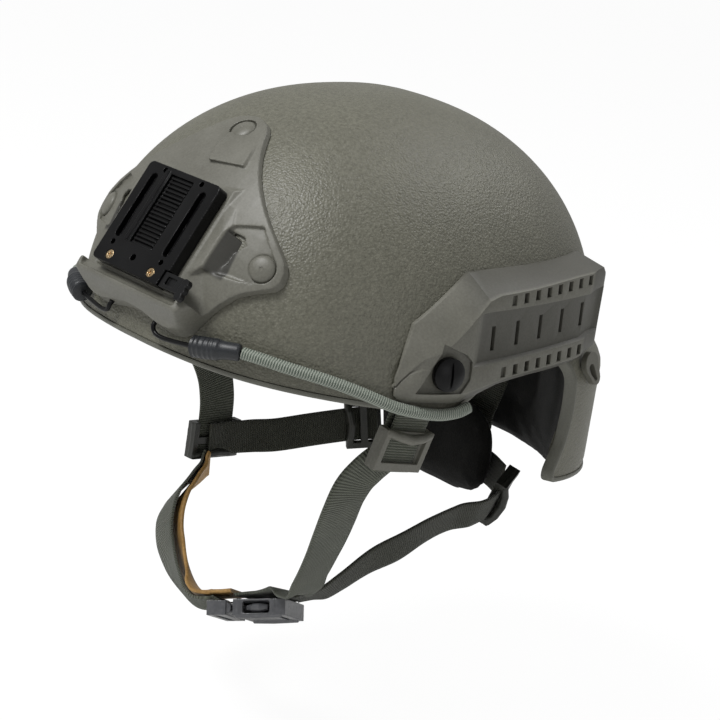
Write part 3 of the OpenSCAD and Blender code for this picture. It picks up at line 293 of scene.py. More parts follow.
def melt(obj, voxel, rounds, *extras):
    """Joins the extras to obj, and remeshes all into one skin with rounded edges."""
    name = obj.name
    if extras:
        deselect()
        for other in (obj,) + extras:
            other.select_set(True)
        bpy.context.view_layer.objects.active = obj
        bpy.ops.object.join()
    take(obj)
    obj.name = name
    obj.data.remesh_voxel_size = voxel * MM
    bpy.ops.object.voxel_remesh()
    modify(obj, "SMOOTH", factor=0.5, iterations=rounds)
    take(obj)
    bpy.ops.object.shade_smooth()
    return obj


def soften(obj, frame_of, chosen, rounds):
    """Smooths only the part of the mesh that chosen picks by its local place in millimetres."""
    origin, x, y, z = frame_of
    away = points_of(obj) / MM - origin
    group = obj.vertex_groups.new(name="soft")
    group.add([k for k, p in enumerate(away) if chosen(p @ x, p @ y, p @ z)], 1.0, "REPLACE")
    modify(obj, "SMOOTH", factor=0.5, iterations=rounds, vertex_group="soft")
    obj.vertex_groups.clear()
    return obj


def local(obj, frame_of):
    """Moves a mesh drawn in a local frame in millimetres to its place in metres."""
    origin, x, y, z = frame_of
    rows = [[x[i] * MM, y[i] * MM, z[i] * MM, origin[i] * MM] for i in range(3)] + [[0, 0, 0, 1]]
    obj.data.transform(Matrix(rows))
    obj.data.update()
    return obj


def block(frame_of, size, at, bevel, segments=2):
    """A box drawn in a local frame, with its edges bevelled in edit mode."""
    deselect()
    bpy.ops.mesh.primitive_cube_add(size=1, location=(0, 0, 0))
    obj = bpy.context.object
    edit(obj)
    bpy.ops.transform.resize(value=size)
    bpy.ops.transform.translate(value=at)
    bpy.ops.mesh.bevel(offset=bevel, segments=segments, affect="EDGES")
    leave()
    return local(obj, frame_of)


def rod(frame_of, path, radii, sides=14):
    """A closed round bar along a path in a local frame."""
    obj = tube("rod", np.array(path, float), radii, sides, turn=(0.1, 0.2, 1))
    obj.data.transform(Matrix.Scale(1 / MM, 4))
    return local(obj, frame_of)


def between_rings(frame_of, low, high):
    """A solid between two rings of points of a local frame, for adding a form or cutting one."""
    deselect()
    bpy.ops.mesh.primitive_circle_add(vertices=len(low), radius=1, fill_type="NGON")
    obj = bpy.context.object
    edit(obj)
    bpy.ops.mesh.extrude_region_move(TRANSFORM_OT_translate={"value": (0, 0, 1)})
    leave()
    for vertex, place in zip(obj.data.vertices, list(low) + list(high)):
        vertex.co = place
    edit(obj)
    bpy.ops.mesh.select_all(action="SELECT")
    bpy.ops.mesh.quads_convert_to_tris()
    bpy.ops.mesh.normals_make_consistent(inside=False)
    leave()
    return local(obj, frame_of)


def turned(name, frame_of, profile, sides=48):
    """A turned piece: a profile of radius and height swept round the local axis."""
    angle = np.linspace(0, 2 * np.pi, sides + 1)
    rings = np.array([[(r * math.cos(t), r * math.sin(t), h) for t in angle] for r, h in profile])
    obj = close_up(sheet_from(name, rings))
    obj.data.transform(Matrix.Scale(1 / MM, 4))
    return smooth(local(obj, frame_of), 35)


def settle(obj, finish, slot, *nodes, body=None):
    """Gives the piece its material, and lets it ride on the body of the nodes it stands for."""
    obj.data.materials.clear()
    obj.data.materials.append(bpy.data.materials[finish])
    if nodes:
        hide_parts(*nodes)
    if body != "blended":
        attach(obj, body or BODY_OF[nodes[0]])
    return obj


# Curves and frames

def smooth01(t):
    u = np.clip(t, 0, 1)
    return u * u * (3 - 2 * u)


def spline(knots, steps):
    """Smooth curve through whole rows of numbers."""
    rows = np.array(knots, float)
    n = len(rows)
    out = []
    for k in range((n - 1) * steps + 1):
        t = k / steps
        i = min(n - 2, int(t))
        f = t - i
        p1, p2 = rows[i], rows[i + 1]
        p0 = rows[i - 1] if i > 0 else 2 * p1 - p2
        p3 = rows[i + 2] if i < n - 2 else 2 * p2 - p1
        out.append(0.5 * (2 * p1 + (p2 - p0) * f + (2 * p0 - 5 * p1 + 4 * p2 - p3) * f * f
                          + (3 * p1 - p0 - 3 * p2 + p3) * f ** 3))
    return np.array(out)


def directions(path):
    ahead = np.vstack([path[1:], path[-1:]])
    behind = np.vstack([path[:1], path[:-1]])
    d = ahead - behind
    return d / np.linalg.norm(d, axis=1)[:, None]


def lengths(path):
    return np.concatenate([[0], np.cumsum(np.linalg.norm(np.diff(path, axis=0), axis=1))])


def unit(v):
    v = np.array(v, float)
    return v / np.linalg.norm(v)


def tube(name, path, radii, sides, turn=(0, 0, 1)):
    """A tube along path with its own radius at each point; UV is the turn and the length in metres."""
    along = directions(path)
    radii = np.broadcast_to(radii, len(path))
    run = lengths(path)
    rings, uv = [], []
    for k, p in enumerate(path):
        u = unit(np.cross(along[k], turn))
        v = np.cross(along[k], u)
        angle = np.linspace(0, 2 * np.pi, sides + 1)
        rings.append(p + (np.outer(np.cos(angle), u) + np.outer(np.sin(angle), v)) * radii[k])
        uv.append(np.stack([np.linspace(0, 1, sides + 1), np.full(sides + 1, run[k] * MM)], 1))
    return close_up(sheet_from(name, np.array(rings), np.array(uv)))


def ribbon(name, rows, width, thick, shift=0.0, bow=0.0, edge=0.3):
    """Webbing through rows of place and width direction; UV is across and along, in metres."""
    path, w0 = rows[:, :3], rows[:, 3:6]
    along = directions(path)
    w = w0 - along * np.sum(w0 * along, axis=1)[:, None]
    w /= np.linalg.norm(w, axis=1)[:, None]
    out = np.cross(w, along)
    run = lengths(path)
    half_w, half_t = width / 2, thick / 2
    flat = half_w - edge
    half = [(-flat + 2 * flat * s, -half_t) for s in np.linspace(0, 1, 9)]
    half += [(half_w - edge * 0.3, -half_t * 0.7), (half_w, 0), (half_w - edge * 0.3, half_t * 0.7)]
    section = np.array(half + [(-x, -y) for x, y in half] + half[:1])
    share = np.arange(len(path)) / (len(path) - 1)
    rest = shift + bow * np.sin(np.pi * share) ** 2
    places, uv = [], []
    for k in range(len(path)):
        height = section[:, 1] + rest[k]
        places.append(path[k] + np.outer(section[:, 0], w[k]) + np.outer(height, out[k]))
        uv.append(np.stack([section[:, 0] * MM, np.full(len(section), run[k] * MM)], 1))
    return smooth(close_up(sheet_from(name, np.array(places), np.array(uv))), 50)


# The shell's skin, in millimetres

SHELL_HALF_WIDTH, SHELL_FRONT, SHELL_REAR, SHELL_HEIGHT, SHELL_WALL = 117.0, 136.0, 137.5, 127.0, 5.0
PLAN_POWER, SIDE_POWER, CREASE, TRIM_HEIGHT, TRIM_LIP, CENTRE_Y = 2.5, 2.12, 13.0, 3.0, 0.8, 1.0
SIDE_FLARE, REAR_FLARE = 1.2, 8.5
# Millimetres along the rim for one degree of turn, near enough to square off the trim
MM_PER_DEGREE = 2.2
RIM_KNOTS = [
    (0, 0, 2), (14, 14, 1.7), (28, 28, 0.2), (42, 42, -2.2), (56, 56, -5.8), (68, 68, -9.6),
    (76, 76, -11.2), (81, 81, -6.5), (86, 86, -0.2), (92, 92, 4), (101, 101, 6.2), (109, 109, 7.4),
    (113, 115, 6.4), (115.5, 118.4, 1), (118, 119.8, -9), (120.5, 120.2, -23), (123, 119.4, -38),
    (125.5, 117.8, -48), (127.5, 116.6, -55.5), (129.5, 117.4, -60.5), (133, 122, -62.6), (142, 135, -65),
    (154, 151, -67.8), (167, 166, -69.4), (180, 180, -70),
]


def flare(angle, z):
    rearward = smooth01((np.abs(angle) - 100) / 36)
    reach = SIDE_FLARE + (REAR_FLARE - SIDE_FLARE) * rearward
    below = np.clip((CREASE - z) / 20, 0, 1)
    shape = np.sin(np.pi / 2 * below) * (1 - rearward) + smooth01(below) * rearward
    return reach * shape - 3 * smooth01((-58 - z) / 16)


def plan_radius(angle, off):
    a = np.radians(angle)
    length = np.where(np.cos(a) > 0, SHELL_FRONT, SHELL_REAR)
    across = (np.abs(np.sin(a)) / (SHELL_HALF_WIDTH + off)) ** PLAN_POWER
    along = (np.abs(np.cos(a)) / (length + off)) ** PLAN_POWER
    return (across + along) ** (-1 / PLAN_POWER)


def draw_in(z, off):
    return np.where(z <= 0, 1, np.maximum(0, 1 - (np.maximum(z, 0) / (SHELL_HEIGHT + off)) ** SIDE_POWER)
                    ** (1 / SIDE_POWER))


def skin(angle, z, off):
    angle, z = np.broadcast_arrays(np.array(angle, float), np.array(z, float))
    r = plan_radius(angle, off + flare(angle, z)) * draw_in(z, off)
    a = np.radians(angle)
    return np.stack([r * np.sin(a), CENTRE_Y - r * np.cos(a), z], -1)


def wrap(turn):
    return (turn + 540) % 360 - 180


def shell_edge(steps):
    """The shell's own edge all round, above the trim's lower line: angle at the crease, angle and height."""
    half = spline(RIM_KNOTS, steps)
    other = half[:0:-1].copy()
    other[:, :2] *= -1
    rim = np.vstack([half[:-1], other])
    before, after = np.roll(rim, 1, axis=0), np.roll(rim, -1, axis=0)
    turn = wrap(after[:, 1] - before[:, 1])
    along = np.stack([turn * MM_PER_DEGREE, after[:, 2] - before[:, 2]], 1)
    along /= np.linalg.norm(along, axis=1)[:, None]
    edge = rim.copy()
    edge[:, 1] -= along[:, 1] * TRIM_HEIGHT / MM_PER_DEGREE
    edge[:, 2] += along[:, 0] * TRIM_HEIGHT
    return edge


LEAN = math.radians(33.2)
PLATE_UP = np.array([0, math.sin(LEAN), math.cos(LEAN)])
PLATE_OUT = np.array([0, -math.cos(LEAN), math.sin(LEAN)])
PLATE = (np.array([0, -131.31, 61.9]), np.array([1.0, 0, 0]), PLATE_UP, PLATE_OUT)


# Forms added to the shroud or cut from it, as rings of x, up and out in the plate's frame, mm.
WEDGE_PAD = (
    ([(1.8, 40.7, -16), (23.8, 44.4, -16), (20.5, 53.5, -18), (-2.5, 51, -18)],
     [(1.8, 40.7, -5.4), (23.8, 44.4, -7.8), (20.5, 53.5, -10.6), (-2.5, 51, -8.6)]),
    ([(-2.5, 51, -18), (20.5, 53.5, -18), (15.5, 63, -20), (-4.8, 60.5, -20)],
     [(-2.5, 51, -8.6), (20.5, 53.5, -10.6), (15.5, 63, -15.3), (-4.8, 60.5, -13.9)]),
)
TRIANGLE = ([(-23.1, 43.2, -10.3), (-2.5, 41.2, -10.3), (-13.3, 50.4, -11.8)],
            [(-23.1, 43.2, -3), (-2.5, 41.2, -3), (-13.3, 50.4, -3)])
BED_SIDE = ([(28, -18, -14), (33, -16, -14), (37.5, -8.5, -17), (37.5, 9, -17), (40, 15, -17),
             (36, 23, -15), (28, 25, -14)],
            [(28, -18, -7.2), (33, -16, -8.6), (37.5, -8.5, -7.6), (37.5, 9, -7.2), (40, 15, -8.6),
             (36, 23, -8), (28, 25, -7.2)])
WINDOW_RAMP = ([(36, -10.5, -18), (46, -9.5, -19), (48, 10.5, -19), (37.5, 12, -18)],
               [(36, -10.5, -7.4), (45, -9.5, -15.6), (47, 10.5, -16), (37.5, 12, -7.2)])
TRAY = ([(-38, -33.6, -5.6), (38, -33.6, -5.6), (38, -29, -9), (-38, -29, -9)],
        [(-38, -33.6, 2), (38, -33.6, 2), (38, -29, 2), (-38, -29, 2)])
# The end of the shelf, as x and out, and how far up it runs
SHELF_RUN = (-46, -25.5)
SHELF_END = [(50, 1), (35, 1), (36, -3.4), (40, -4.6), (43.2, -6.8), (45.2, -9.8), (45.8, -13.6), (50, -13.6)]
# The CAD's own wedge on the top lobe: half width, low and high end, and the lobe's plane under it
WEDGE_HALF, WEDGE_LOW, WEDGE_HIGH = 11.2, 42.9, 57.5
LOBE_OUT, LOBE_FALL, LOBE_UP = -8.1, 0.294, 42


def skin_level(p):
    """Below 1 inside the shell's outer skin above the crease."""
    length = SHELL_FRONT if p[1] < CENTRE_Y else SHELL_REAR
    plan = (abs(p[0]) / SHELL_HALF_WIDTH) ** PLAN_POWER + (abs(p[1] - CENTRE_Y) / length) ** PLAN_POWER
    return plan ** (SIDE_POWER / PLAN_POWER) + (max(p[2], 0) / SHELL_HEIGHT) ** SIDE_POWER


def on_skin(x, up, rise=0.0):
    """Local frame on the shell under a point of the plate's plane, its Z square to the skin."""
    start = PLATE[0] + PLATE[1] * x + PLATE_UP * up
    near, far = 0.0, 80.0
    for _ in range(40):
        mid = (near + far) / 2
        near, far = (near, mid) if skin_level(start - PLATE_OUT * mid) < 1 else (mid, far)
    here = start - PLATE_OUT * far
    steps = np.eye(3) * 0.05
    out = unit([skin_level(here + d) - skin_level(here - d) for d in steps])
    side = unit(np.cross(PLATE_UP, out))
    return here + out * rise, side, np.cross(out, side), out


# Routes, as in the part's source, in millimetres. A row holds a place, and for a strap the direction of
# its width. Near the buckle the straps are a little smoother than the part's.

BUCKLE_CENTRE = np.array([14, -40.8, -158.4])


def buckle_axes():
    turn, rise, roll = (math.radians(v) for v in (32, 15, 27))
    m = Matrix.Rotation(turn, 3, "Z") @ Matrix.Rotation(-rise, 3, "Y") @ Matrix.Rotation(-roll, 3, "X")
    return np.array(m).T


BX, BY, BZ = buckle_axes()


def buckle_row(x, y, z, side):
    place = BUCKLE_CENTRE + BX * x + BY * y + BZ * z
    return [*place, *(BY * side)]


BAR_SLOT_X = 14.6
PLUG_SLOT_X = -20.0
FRONT_LEFT = [
    [105.6, -34, 3.4, 0.24, 0.97, 0], [104.2, -36.4, -5, 0.2, 0.97, 0], [101.2, -39.5, -14, 0.1, 1, 0],
    [98.8, -41, -23, 0, 1, -0.05], [97.2, -42.8, -31, 0, 1, -0.1], [95.4, -46.8, -38.6, 0, 0.92, -0.35],
    [92.6, -53, -45.4, 0, 0.86, -0.48], [89, -57.6, -54, 0.07, 0.95, -0.25],
    [84.6, -58.8, -66.5, 0.1, 1, 0.05], [77.5, -55.6, -81.6, 0.1, 1, 0.1], [69, -51, -97, 0.05, 1, 0.1],
    [61, -47.5, -111, 0, 1, 0.1], [53, -43.8, -123.5, -0.05, 1, 0.05],
    [46, -39.6, -133.4, -0.2, 0.95, -0.1], [36.8, -37.4, -139.4, -0.3, 0.9, -0.25],
    buckle_row(17, -8, 9.2, 1), buckle_row(6, -3, 8.4, 1), buckle_row(-2, -1, 8, 1),
    buckle_row(-8.5, 0, 7.6, 1),
]
TAIL = [
    [105.6, -38.8, -9, 0, 1, 0], [104.4, -39.6, -16, 0, 1, 0], [103.1, -41.1, -24.4, 0, 1, 0],
    [101.9, -42.8, -32.8, 0, 1, 0], [100.8, -44.4, -41.1, 0, 1, 0], [100.3, -45.1, -45, 0, 1, 0],
]
FRONT_RIGHT = [
    [-105.6, -34, 3.4, 0.24, -0.97, 0], [-104.4, -34.6, -6, 0.2, -0.97, 0], [-103.6, -30, -16, 0, -1, 0.35],
    [-103.2, -20, -28, 0, -1, 0.6], [-102.4, -5, -45, 0, -1, 0.5], [-101, 4.6, -62, 0, -1, 0.3],
    [-99.6, 8.4, -78, 0, -1, 0], [-98.8, 8.8, -91, 0, -1, 0], [-98.2, 8.2, -104, 0, -1, 0],
    [-97.6, 7.4, -116, 0, -1, 0],
]
REAR_LEFT = [
    [54.4, 98.4, -90.7, 0.36, 0, 0.93], [57.2, 92.1, -92.2, 0.36, 0, 0.93],
    [59.6, 86.8, -93.5, 0.36, 0, 0.93], [62, 81.4, -94.8, 0.36, 0, 0.93],
    [64.8, 75.1, -96.3, 0.38, 0, 0.92], [65.6, 64, -98.4, 0.43, 0, 0.9], [61, 51.5, -100.8, 0.42, 0, 0.9],
    [58.6, 34.6, -106, 0.38, -0.05, 0.92], [54.5, 18.5, -115, 0.3, -0.1, 0.92],
    [48, 4, -124, 0.35, -0.25, 0.88], [42.4, -9.6, -135.4, 0.42, -0.45, 0.75],
    [37.6, -17.6, -142.9, 0.43, -0.68, 0.58], buckle_row(27, 3, 7.6, -1), buckle_row(21.5, 1, 6.4, -1),
]
REAR_LEFT_END = [
    buckle_row(17.5, 0, 6.5, -1), buckle_row(BAR_SLOT_X + 0.3, 0, 5.1, -1),
    buckle_row(BAR_SLOT_X, 0, -1, -1),
]
REAR_RIGHT = [
    [-53.5, 98, -90.5, -0.2, 0.1, 0.97], [-59.6, 92, -92, -0.2, 0.05, 0.97],
    [-65.6, 81, -94, -0.25, 0, 0.97], [-73, 62, -97, -0.25, 0, 0.97], [-82, 43, -101, -0.22, 0, 0.97],
    [-88, 30, -102, -0.15, 0, 0.98], [-91, 21, -102.6, -0.05, 0, 1], [-93.1, 13, -102.8, -0.05, 0, 1],
    [-93.4, 7, -102.8, -0.05, 0, 1], [-93.4, 1.6, -102.8, -0.05, 0, 1],
]
CHIN = [
    [-97.2, 3, -117.4, 0.5, -0.8, 0.3], [-95.6, -3, -121.6, 0.6, -0.72, 0.33],
    [-91.6, -14, -126, 0.65, -0.55, 0.42], [-85.6, -27, -131, 0.7, -0.35, 0.5],
    [-78.6, -37, -138, 0.75, -0.2, 0.6], [-70.5, -42.6, -147.6, 0.68, -0.2, 0.7],
    [-60, -45.4, -156, 0.6, -0.3, 0.75], [-44, -49.6, -161.8, 0.5, -0.5, 0.7],
    [-29, -53.6, -164, 0.46, -0.62, 0.63], [-18.5, -54.6, -163, 0.42, -0.72, 0.55],
    buckle_row(-26.6, 0, 6, -1), buckle_row(-23, 0, 6.4, -1),
]
CHIN_END = [buckle_row(PLUG_SLOT_X - 0.3, 0, 5, -1), buckle_row(PLUG_SLOT_X, 0, -1, -1)]
LINING_END = [buckle_row(-17, 0, 6.4, -1), buckle_row(-11.5, 0, 6.8, -1)]
NAPE_TOP = [
    [18, 116, -34, 1, 0, 0], [18, 114.6, -42, 1, 0, 0], [17.6, 111.2, -52, 1, 0, 0],
    [17, 108.7, -60, 1, 0, 0], [17, 108.45, -68, 1, 0, 0],
]
NAPE_SIDE = [
    [31, 103.9, -88, 0.1, 0, 1], [38, 102.3, -88.4, 0.1, 0, 1], [44, 100.7, -89.3, 0.1, 0, 1],
    [49.1, 99.1, -90.1, 0.15, 0, 0.99],
]
HOOK = [
    [18, -136.2, 19], [18, -139.6, 15.2], [19.6, -139.8, 12], [24, -139.4, 10.8], [32, -138.1, 11],
    [45, -136.2, 12.4],
]
GRIP = [[45.6, -136.2, 12.6], [52, -134.4, 13.6], [58.5, -131.4, 14.5]]
SLEEVE = [[58.8, -131.2, 14.5], [63.5, -128.4, 15], [68, -125.2, 15.2]]
BUNGEE = [
    [68.4, -124.9, 15.2], [76, -119, 14], [84, -112.3, 12.2], [91, -105, 10.4], [98.4, -95.8, 8],
    [104.8, -86, 4.8], [110, -76, 1], [114.8, -64, -3.8], [118.4, -51, -7], [120.8, -38, -9],
    [122, -27, -8.6], [122.4, -20, -6.6],
]


class HelmetColours(bpy.types.PropertyGroup):
    """Colours of the helmet's finishes, each a dark and a light tone."""
    coat: bpy.props.StringProperty(
        name="Shell coat", description="Two sRGB hex codes", default="#605f53 #757467")
    polymer: bpy.props.StringProperty(
        name="Moulded nylon", description="Shroud and rails", default="#66655c #74736a")
    webbing: bpy.props.StringProperty(
        name="Webbing", description="Front and chin straps", default="#3c3f35 #6a6e60")
    leather: bpy.props.StringProperty(
        name="Leather", description="Lining of the chin strap", default="#8f6a34 #c39a5c")
    buckle: bpy.props.StringProperty(
        name="Buckle", description="Polished buckle", default="#56575a #66676a")
    pad: bpy.props.StringProperty(
        name="Pads", description="Brushed cloth of the pads", default="#090909 #1f1f1d")


class HelmetSizes(bpy.types.PropertyGroup):
    """Sizes of textures and pads, in metres."""
    coat_grain: bpy.props.FloatProperty(
        name="Coat grain", description="Size of the grains in the shell's textured coat",
        default=0.0011, min=0.0004, max=0.003, subtype="DISTANCE", unit="LENGTH")
    rib_pitch: bpy.props.FloatProperty(
        name="Webbing rib", description="Distance from one cross rib of the webbing to the next",
        default=0.00145, min=0.0008, max=0.003, subtype="DISTANCE", unit="LENGTH")
    voxel: bpy.props.FloatProperty(
        name="Pad voxel", description="Voxel size for the padded pieces",
        default=0.0045, min=0.004, max=0.006, subtype="DISTANCE", unit="LENGTH")
    pad_lift: bpy.props.FloatProperty(
        name="Pad lift", description="Furthest that the cloth of a liner pad may swell",
        default=0.0012, min=0.0005, max=0.003, subtype="DISTANCE", unit="LENGTH")
    nape_lift: bpy.props.FloatProperty(
        name="Nape lift", description="Furthest that the cloth of the nape pad may swell",
        default=0.0015, min=0.0005, max=0.003, subtype="DISTANCE", unit="LENGTH")


# Finishes

WARP_PITCH, BRAID_PITCH = 0.0011, 0.0013
# How far the painted shade darkens the shroud's side windows, from 0 to 1
WINDOW_PAINTED_SHADE = 0.82


def textured_coat(dark, light, grain_size):
    """Sprayed grit coat on a laminate: the even grain breaks the highlight into small sparks."""
    made, tree, shader = material("sprayed_grit_coat")
    at = surface(tree)
    grain = noise(tree, at, 0.62 / grain_size, 2.0, Roughness=0.55)
    tone = paint(tree, shader, grain, dark, light, 0.3, 0.72)
    patch = spread(tree, noise(tree, at, 28.0, 3.0), 0.3, 0.7, 0.94, 1.05)
    shade = add(tree, "ShaderNodeMix", {MIX_PART: 1.0, MIX_FROM: tone, MIX_TO: patch},
                data_type="RGBA", blend_type="MULTIPLY")
    tree.links.new(shade.outputs[MIX_RESULT], shader.inputs["Base Color"])
    tree.links.new(spread(tree, grain, 0.3, 0.7, 0.36, 0.5), shader.inputs["Roughness"])
    relief(tree, shader, calc(tree, "ADD", grain, cells(tree, at, 0.9 / grain_size)), 0.68, 0.00038)
    return made


def moulded(name, dark, light, roughness, grain_mm, depth_mm, strength, coat=0.0, level=0.5):
    """Moulded or cast surface: fine grain from the mould, and a slow drift in tone and gloss."""
    made, tree, shader = material(name)
    at = surface(tree)
    fine = noise(tree, at, 0.6 / (grain_mm * MM), 3.0)
    slow = noise(tree, at, 45.0, 4.0, Roughness=0.6)
    mixed = calc(tree, "MULTIPLY_ADD", slow, 0.5, calc(tree, "MULTIPLY", fine, 0.5))
    paint(tree, shader, mixed, dark, light, 0.38, 0.62)
    rough = spread(tree, slow, 0.3, 0.7, max(0.05, roughness - 0.06), roughness + 0.06)
    tree.links.new(rough, shader.inputs["Roughness"])
    relief(tree, shader, fine, strength, depth_mm * MM)
    hold(shader, {"Coat Weight": coat, "Specular IOR Level": level})
    return made


def window_shade(made):
    """Painted shade in the shroud's side windows: a dark tone laid over the recess where its walls would shade
    it.
    """
    tree = made.node_tree
    at = surface(tree)
    x = add(tree, "ShaderNodeSeparateXYZ", {"Vector": at}).outputs["X"]
    side = calc(tree, "ABSOLUTE", x)
    away = add(tree, "ShaderNodeVectorMath", {0: at, 1: PLATE[0] * MM}, operation="SUBTRACT")
    up, out = (add(tree, "ShaderNodeVectorMath", {0: away.outputs["Vector"], 1: way},
                   operation="DOT_PRODUCT").outputs["Value"] for way in (PLATE_UP, PLATE_OUT))
    # Each edge of the window fades from unshaded to painted shade between two places, in metres.
    edges = [spread(tree, *fade, interpolation_type="SMOOTHSTEP") for fade in (
        (side, 0.036, 0.0385), (side, 0.0485, 0.047), (up, -0.0118, -0.0095), (up, 0.0135, 0.0115),
        (out, -0.0076, -0.0088))]
    part = edges[0]
    for edge in edges[1:]:
        part = calc(tree, "MULTIPLY", part, edge)
    return paint_shade(made, calc(tree, "MULTIPLY", part, WINDOW_PAINTED_SHADE), "#1b1a17")


def groove_shade(made):
    """Painted shade on the rail's recessed groove floor, where the groove's upper lip would keep the light
    off, darker than the outer faces.
    """
    tree = made.node_tree
    at = add(tree, "ShaderNodeSeparateXYZ", {"Vector": surface(tree)})
    x, y = at.outputs["X"], at.outputs["Y"]
    # The rail's outer face follows a parabola in y, measured from y = 0.02 m.
    back = calc(tree, "SUBTRACT", y, 0.02)
    bend = calc(tree, "MULTIPLY_ADD", back, -1.09, -0.051)
    face = calc(tree, "MULTIPLY_ADD", bend, back, 0.1251)
    sunk = calc(tree, "SUBTRACT", face, calc(tree, "ABSOLUTE", x))
    level = spread(tree, sunk, 0.0004, 0.0022, 0.0, 0.5)
    return paint_shade(made, calc(tree, "MULTIPLY", level, spread(tree, y, -0.03, -0.018)), "#1d1c19")


def woven(name, dark, light, pitch):
    """Woven nylon webbing: cross ribs of the weft over fine warp ends, with a dusty sheen."""
    made, tree, shader = material(name)
    at = surface(tree)
    across, along = strip_parts(tree)
    ribs = calc(tree, "MULTIPLY", along, TURN / pitch)
    ends = calc(tree, "MULTIPLY", across, TURN / WARP_PITCH)
    slant = calc(tree, "ADD", ends, calc(tree, "MULTIPLY", ribs, 0.5))
    weave = calc(tree, "MULTIPLY_ADD", calc(tree, "SINE", slant), 0.35, calc(tree, "SINE", ribs))
    loose = calc(tree, "MULTIPLY_ADD", noise(tree, at, 900.0, 3.0), 1.2, weave)
    drift = calc(tree, "MULTIPLY_ADD", noise(tree, at, 60.0, 3.0), 1.6, loose)
    paint(tree, shader, spread(tree, drift, 0.0, 2.8), dark, light)
    hold(shader, {"Roughness": 0.8, "Sheen Weight": 0.25, "Specular IOR Level": 0.3})
    relief(tree, shader, weave, 0.8, 0.0003)
    return made


def braided():
    """Braided elastic cord: a pale sheath crossed by green tracer threads in a tight spiral."""
    made, tree, shader = material("braided_elastic_sheath")
    around, along = strip_parts(tree)
    turns = calc(tree, "MULTIPLY", around, TURN * 2)
    run = calc(tree, "MULTIPLY", along, TURN / BRAID_PITCH)
    one, two = (calc(tree, "SINE", calc(tree, way, run, turns)) for way in ("ADD", "SUBTRACT"))
    weave = calc(tree, "MULTIPLY_ADD", two, 0.4, one)
    paint(tree, shader, spread(tree, weave, -1.2, 1.1), "#4a5a4e", "#a9aea2")
    hold(shader, {"Roughness": 0.55, "Sheen Weight": 0.2})
    relief(tree, shader, weave, 0.7, 0.0003)
    return made


def brushed_cloth(dark, light):
    """Brushed loop cloth over foam: short nap that greys at grazing angles."""
    made, tree, shader = material("brushed_loop_cloth")
    at = surface(tree)
    lay = noise(tree, at, 70.0, 3.0, Distortion=0.8)
    mixed = calc(tree, "MULTIPLY_ADD", lay, 0.8, noise(tree, at, 1100.0, 4.0))
    paint(tree, shader, spread(tree, mixed, 0.6, 1.25), dark, light)
    hold(shader, {"Roughness": 0.95, "Sheen Weight": 0.12, "Specular IOR Level": 0.15})
    relief(tree, shader, mixed, 0.6, 0.0004)
    return made


def tanned_leather(dark, light):
    """Smooth tanned leather: a small pebbled grain, and light and dark patches from the stain."""
    made, tree, shader = material("tanned_leather")
    at = surface(tree)
    pebble = cells(tree, at, 650.0)
    mixed = calc(tree, "MULTIPLY_ADD", pebble, 0.35, noise(tree, at, 55.0, 5.0))
    paint(tree, shader, spread(tree, mixed, 0.4, 0.85), dark, light)
    hold(shader, {"Roughness": 0.55})
    relief(tree, shader, pebble, 0.35, 0.0002)
    return made


class HELMET_OT_finishes(bpy.types.Operator):
    """Make the helmet's materials"""
    bl_idname = "helmet.finishes"
    bl_label = "Finishes"

    def execute(self, context):
        colours, sizes = context.scene.helmet_colours, context.scene.helmet_sizes
        textured_coat(*colours.coat.split(), sizes.coat_grain)
        polymer = colours.polymer.split()
        # Nylon from an etched mould: an even matt face, so that only the edges of the facets catch the light.
        # Painted shade darkens its side windows.
        window_shade(moulded("moulded_glass_filled_nylon", *polymer, 0.45, 0.7, 0.08, 0.3))
        # The same nylon, a little more matt, so that the long rails look flat and dry; painted shade darkens
        # the floor of each rail's groove.
        groove_shade(moulded("moulded_rail_nylon", *polymer, 0.5, 0.7, 0.08, 0.3))
        # Rubber: a darker, slightly smoother line that closes the shell's edge.
        moulded("extruded_edge_rubber", "#5f5f56", "#6c6c63", 0.42, 0.5, 0.03, 0.2)
        # Anodised metal: almost black, with a weak satin glint along the ribs and slots.
        moulded("black_anodised_aluminium", "#050506", "#0c0c0d", 0.32, 0.25, 0.02, 0.15, level=0.22)
        # Acetal: black too, but duller and more even than the plate beside it.
        moulded("moulded_black_acetal", "#070708", "#0f1011", 0.36, 0.4, 0.03, 0.2, level=0.3)
        # Steel with a black finish: dark bolts and wire with a thin highlight on their round edges.
        moulded("blackened_steel", "#060607", "#0d0d0e", 0.36, 0.2, 0.02, 0.12, level=0.22)
        # Rubber: bluish charcoal rings that stand out from the black wire and the pale cord.
        moulded("moulded_grip_rubber", "#1a1c1f", "#282b2f", 0.4, 0.4, 0.04, 0.25)
        # Dark nylon: the sliders show as dark frames on the green straps.
        moulded("moulded_dark_nylon", "#2c2d28", "#3a3b36", 0.38, 0.4, 0.04, 0.2)
        # Polished acetal: a clear gloss, so that the buckle's round edges carry small bright lines.
        moulded("polished_moulded_acetal", *colours.buckle.split(), 0.24, 1.2, 0.05, 0.15, coat=0.3)
        # Plated brass: two warm metal points on the black plate.
        brass = moulded("plated_screw_brass", "#b59a72", "#d8c09a", 0.28, 0.3, 0.02, 0.2)
        hold(shader_of(brass), {"Metallic": 1.0})
        woven("woven_nylon_webbing", *colours.webbing.split(), sizes.rib_pitch)
        # A darker copy of the webbing for the rear and nape straps: partly their own darker green, partly
        # painted shade for the shadow they hang in.
        woven("woven_shaded_webbing", "#26271f", "#4a4c41", sizes.rib_pitch * 0.8)
        braided()
        brushed_cloth(*colours.pad.split())
        tanned_leather(*colours.leather.split())
        return {"FINISHED"}


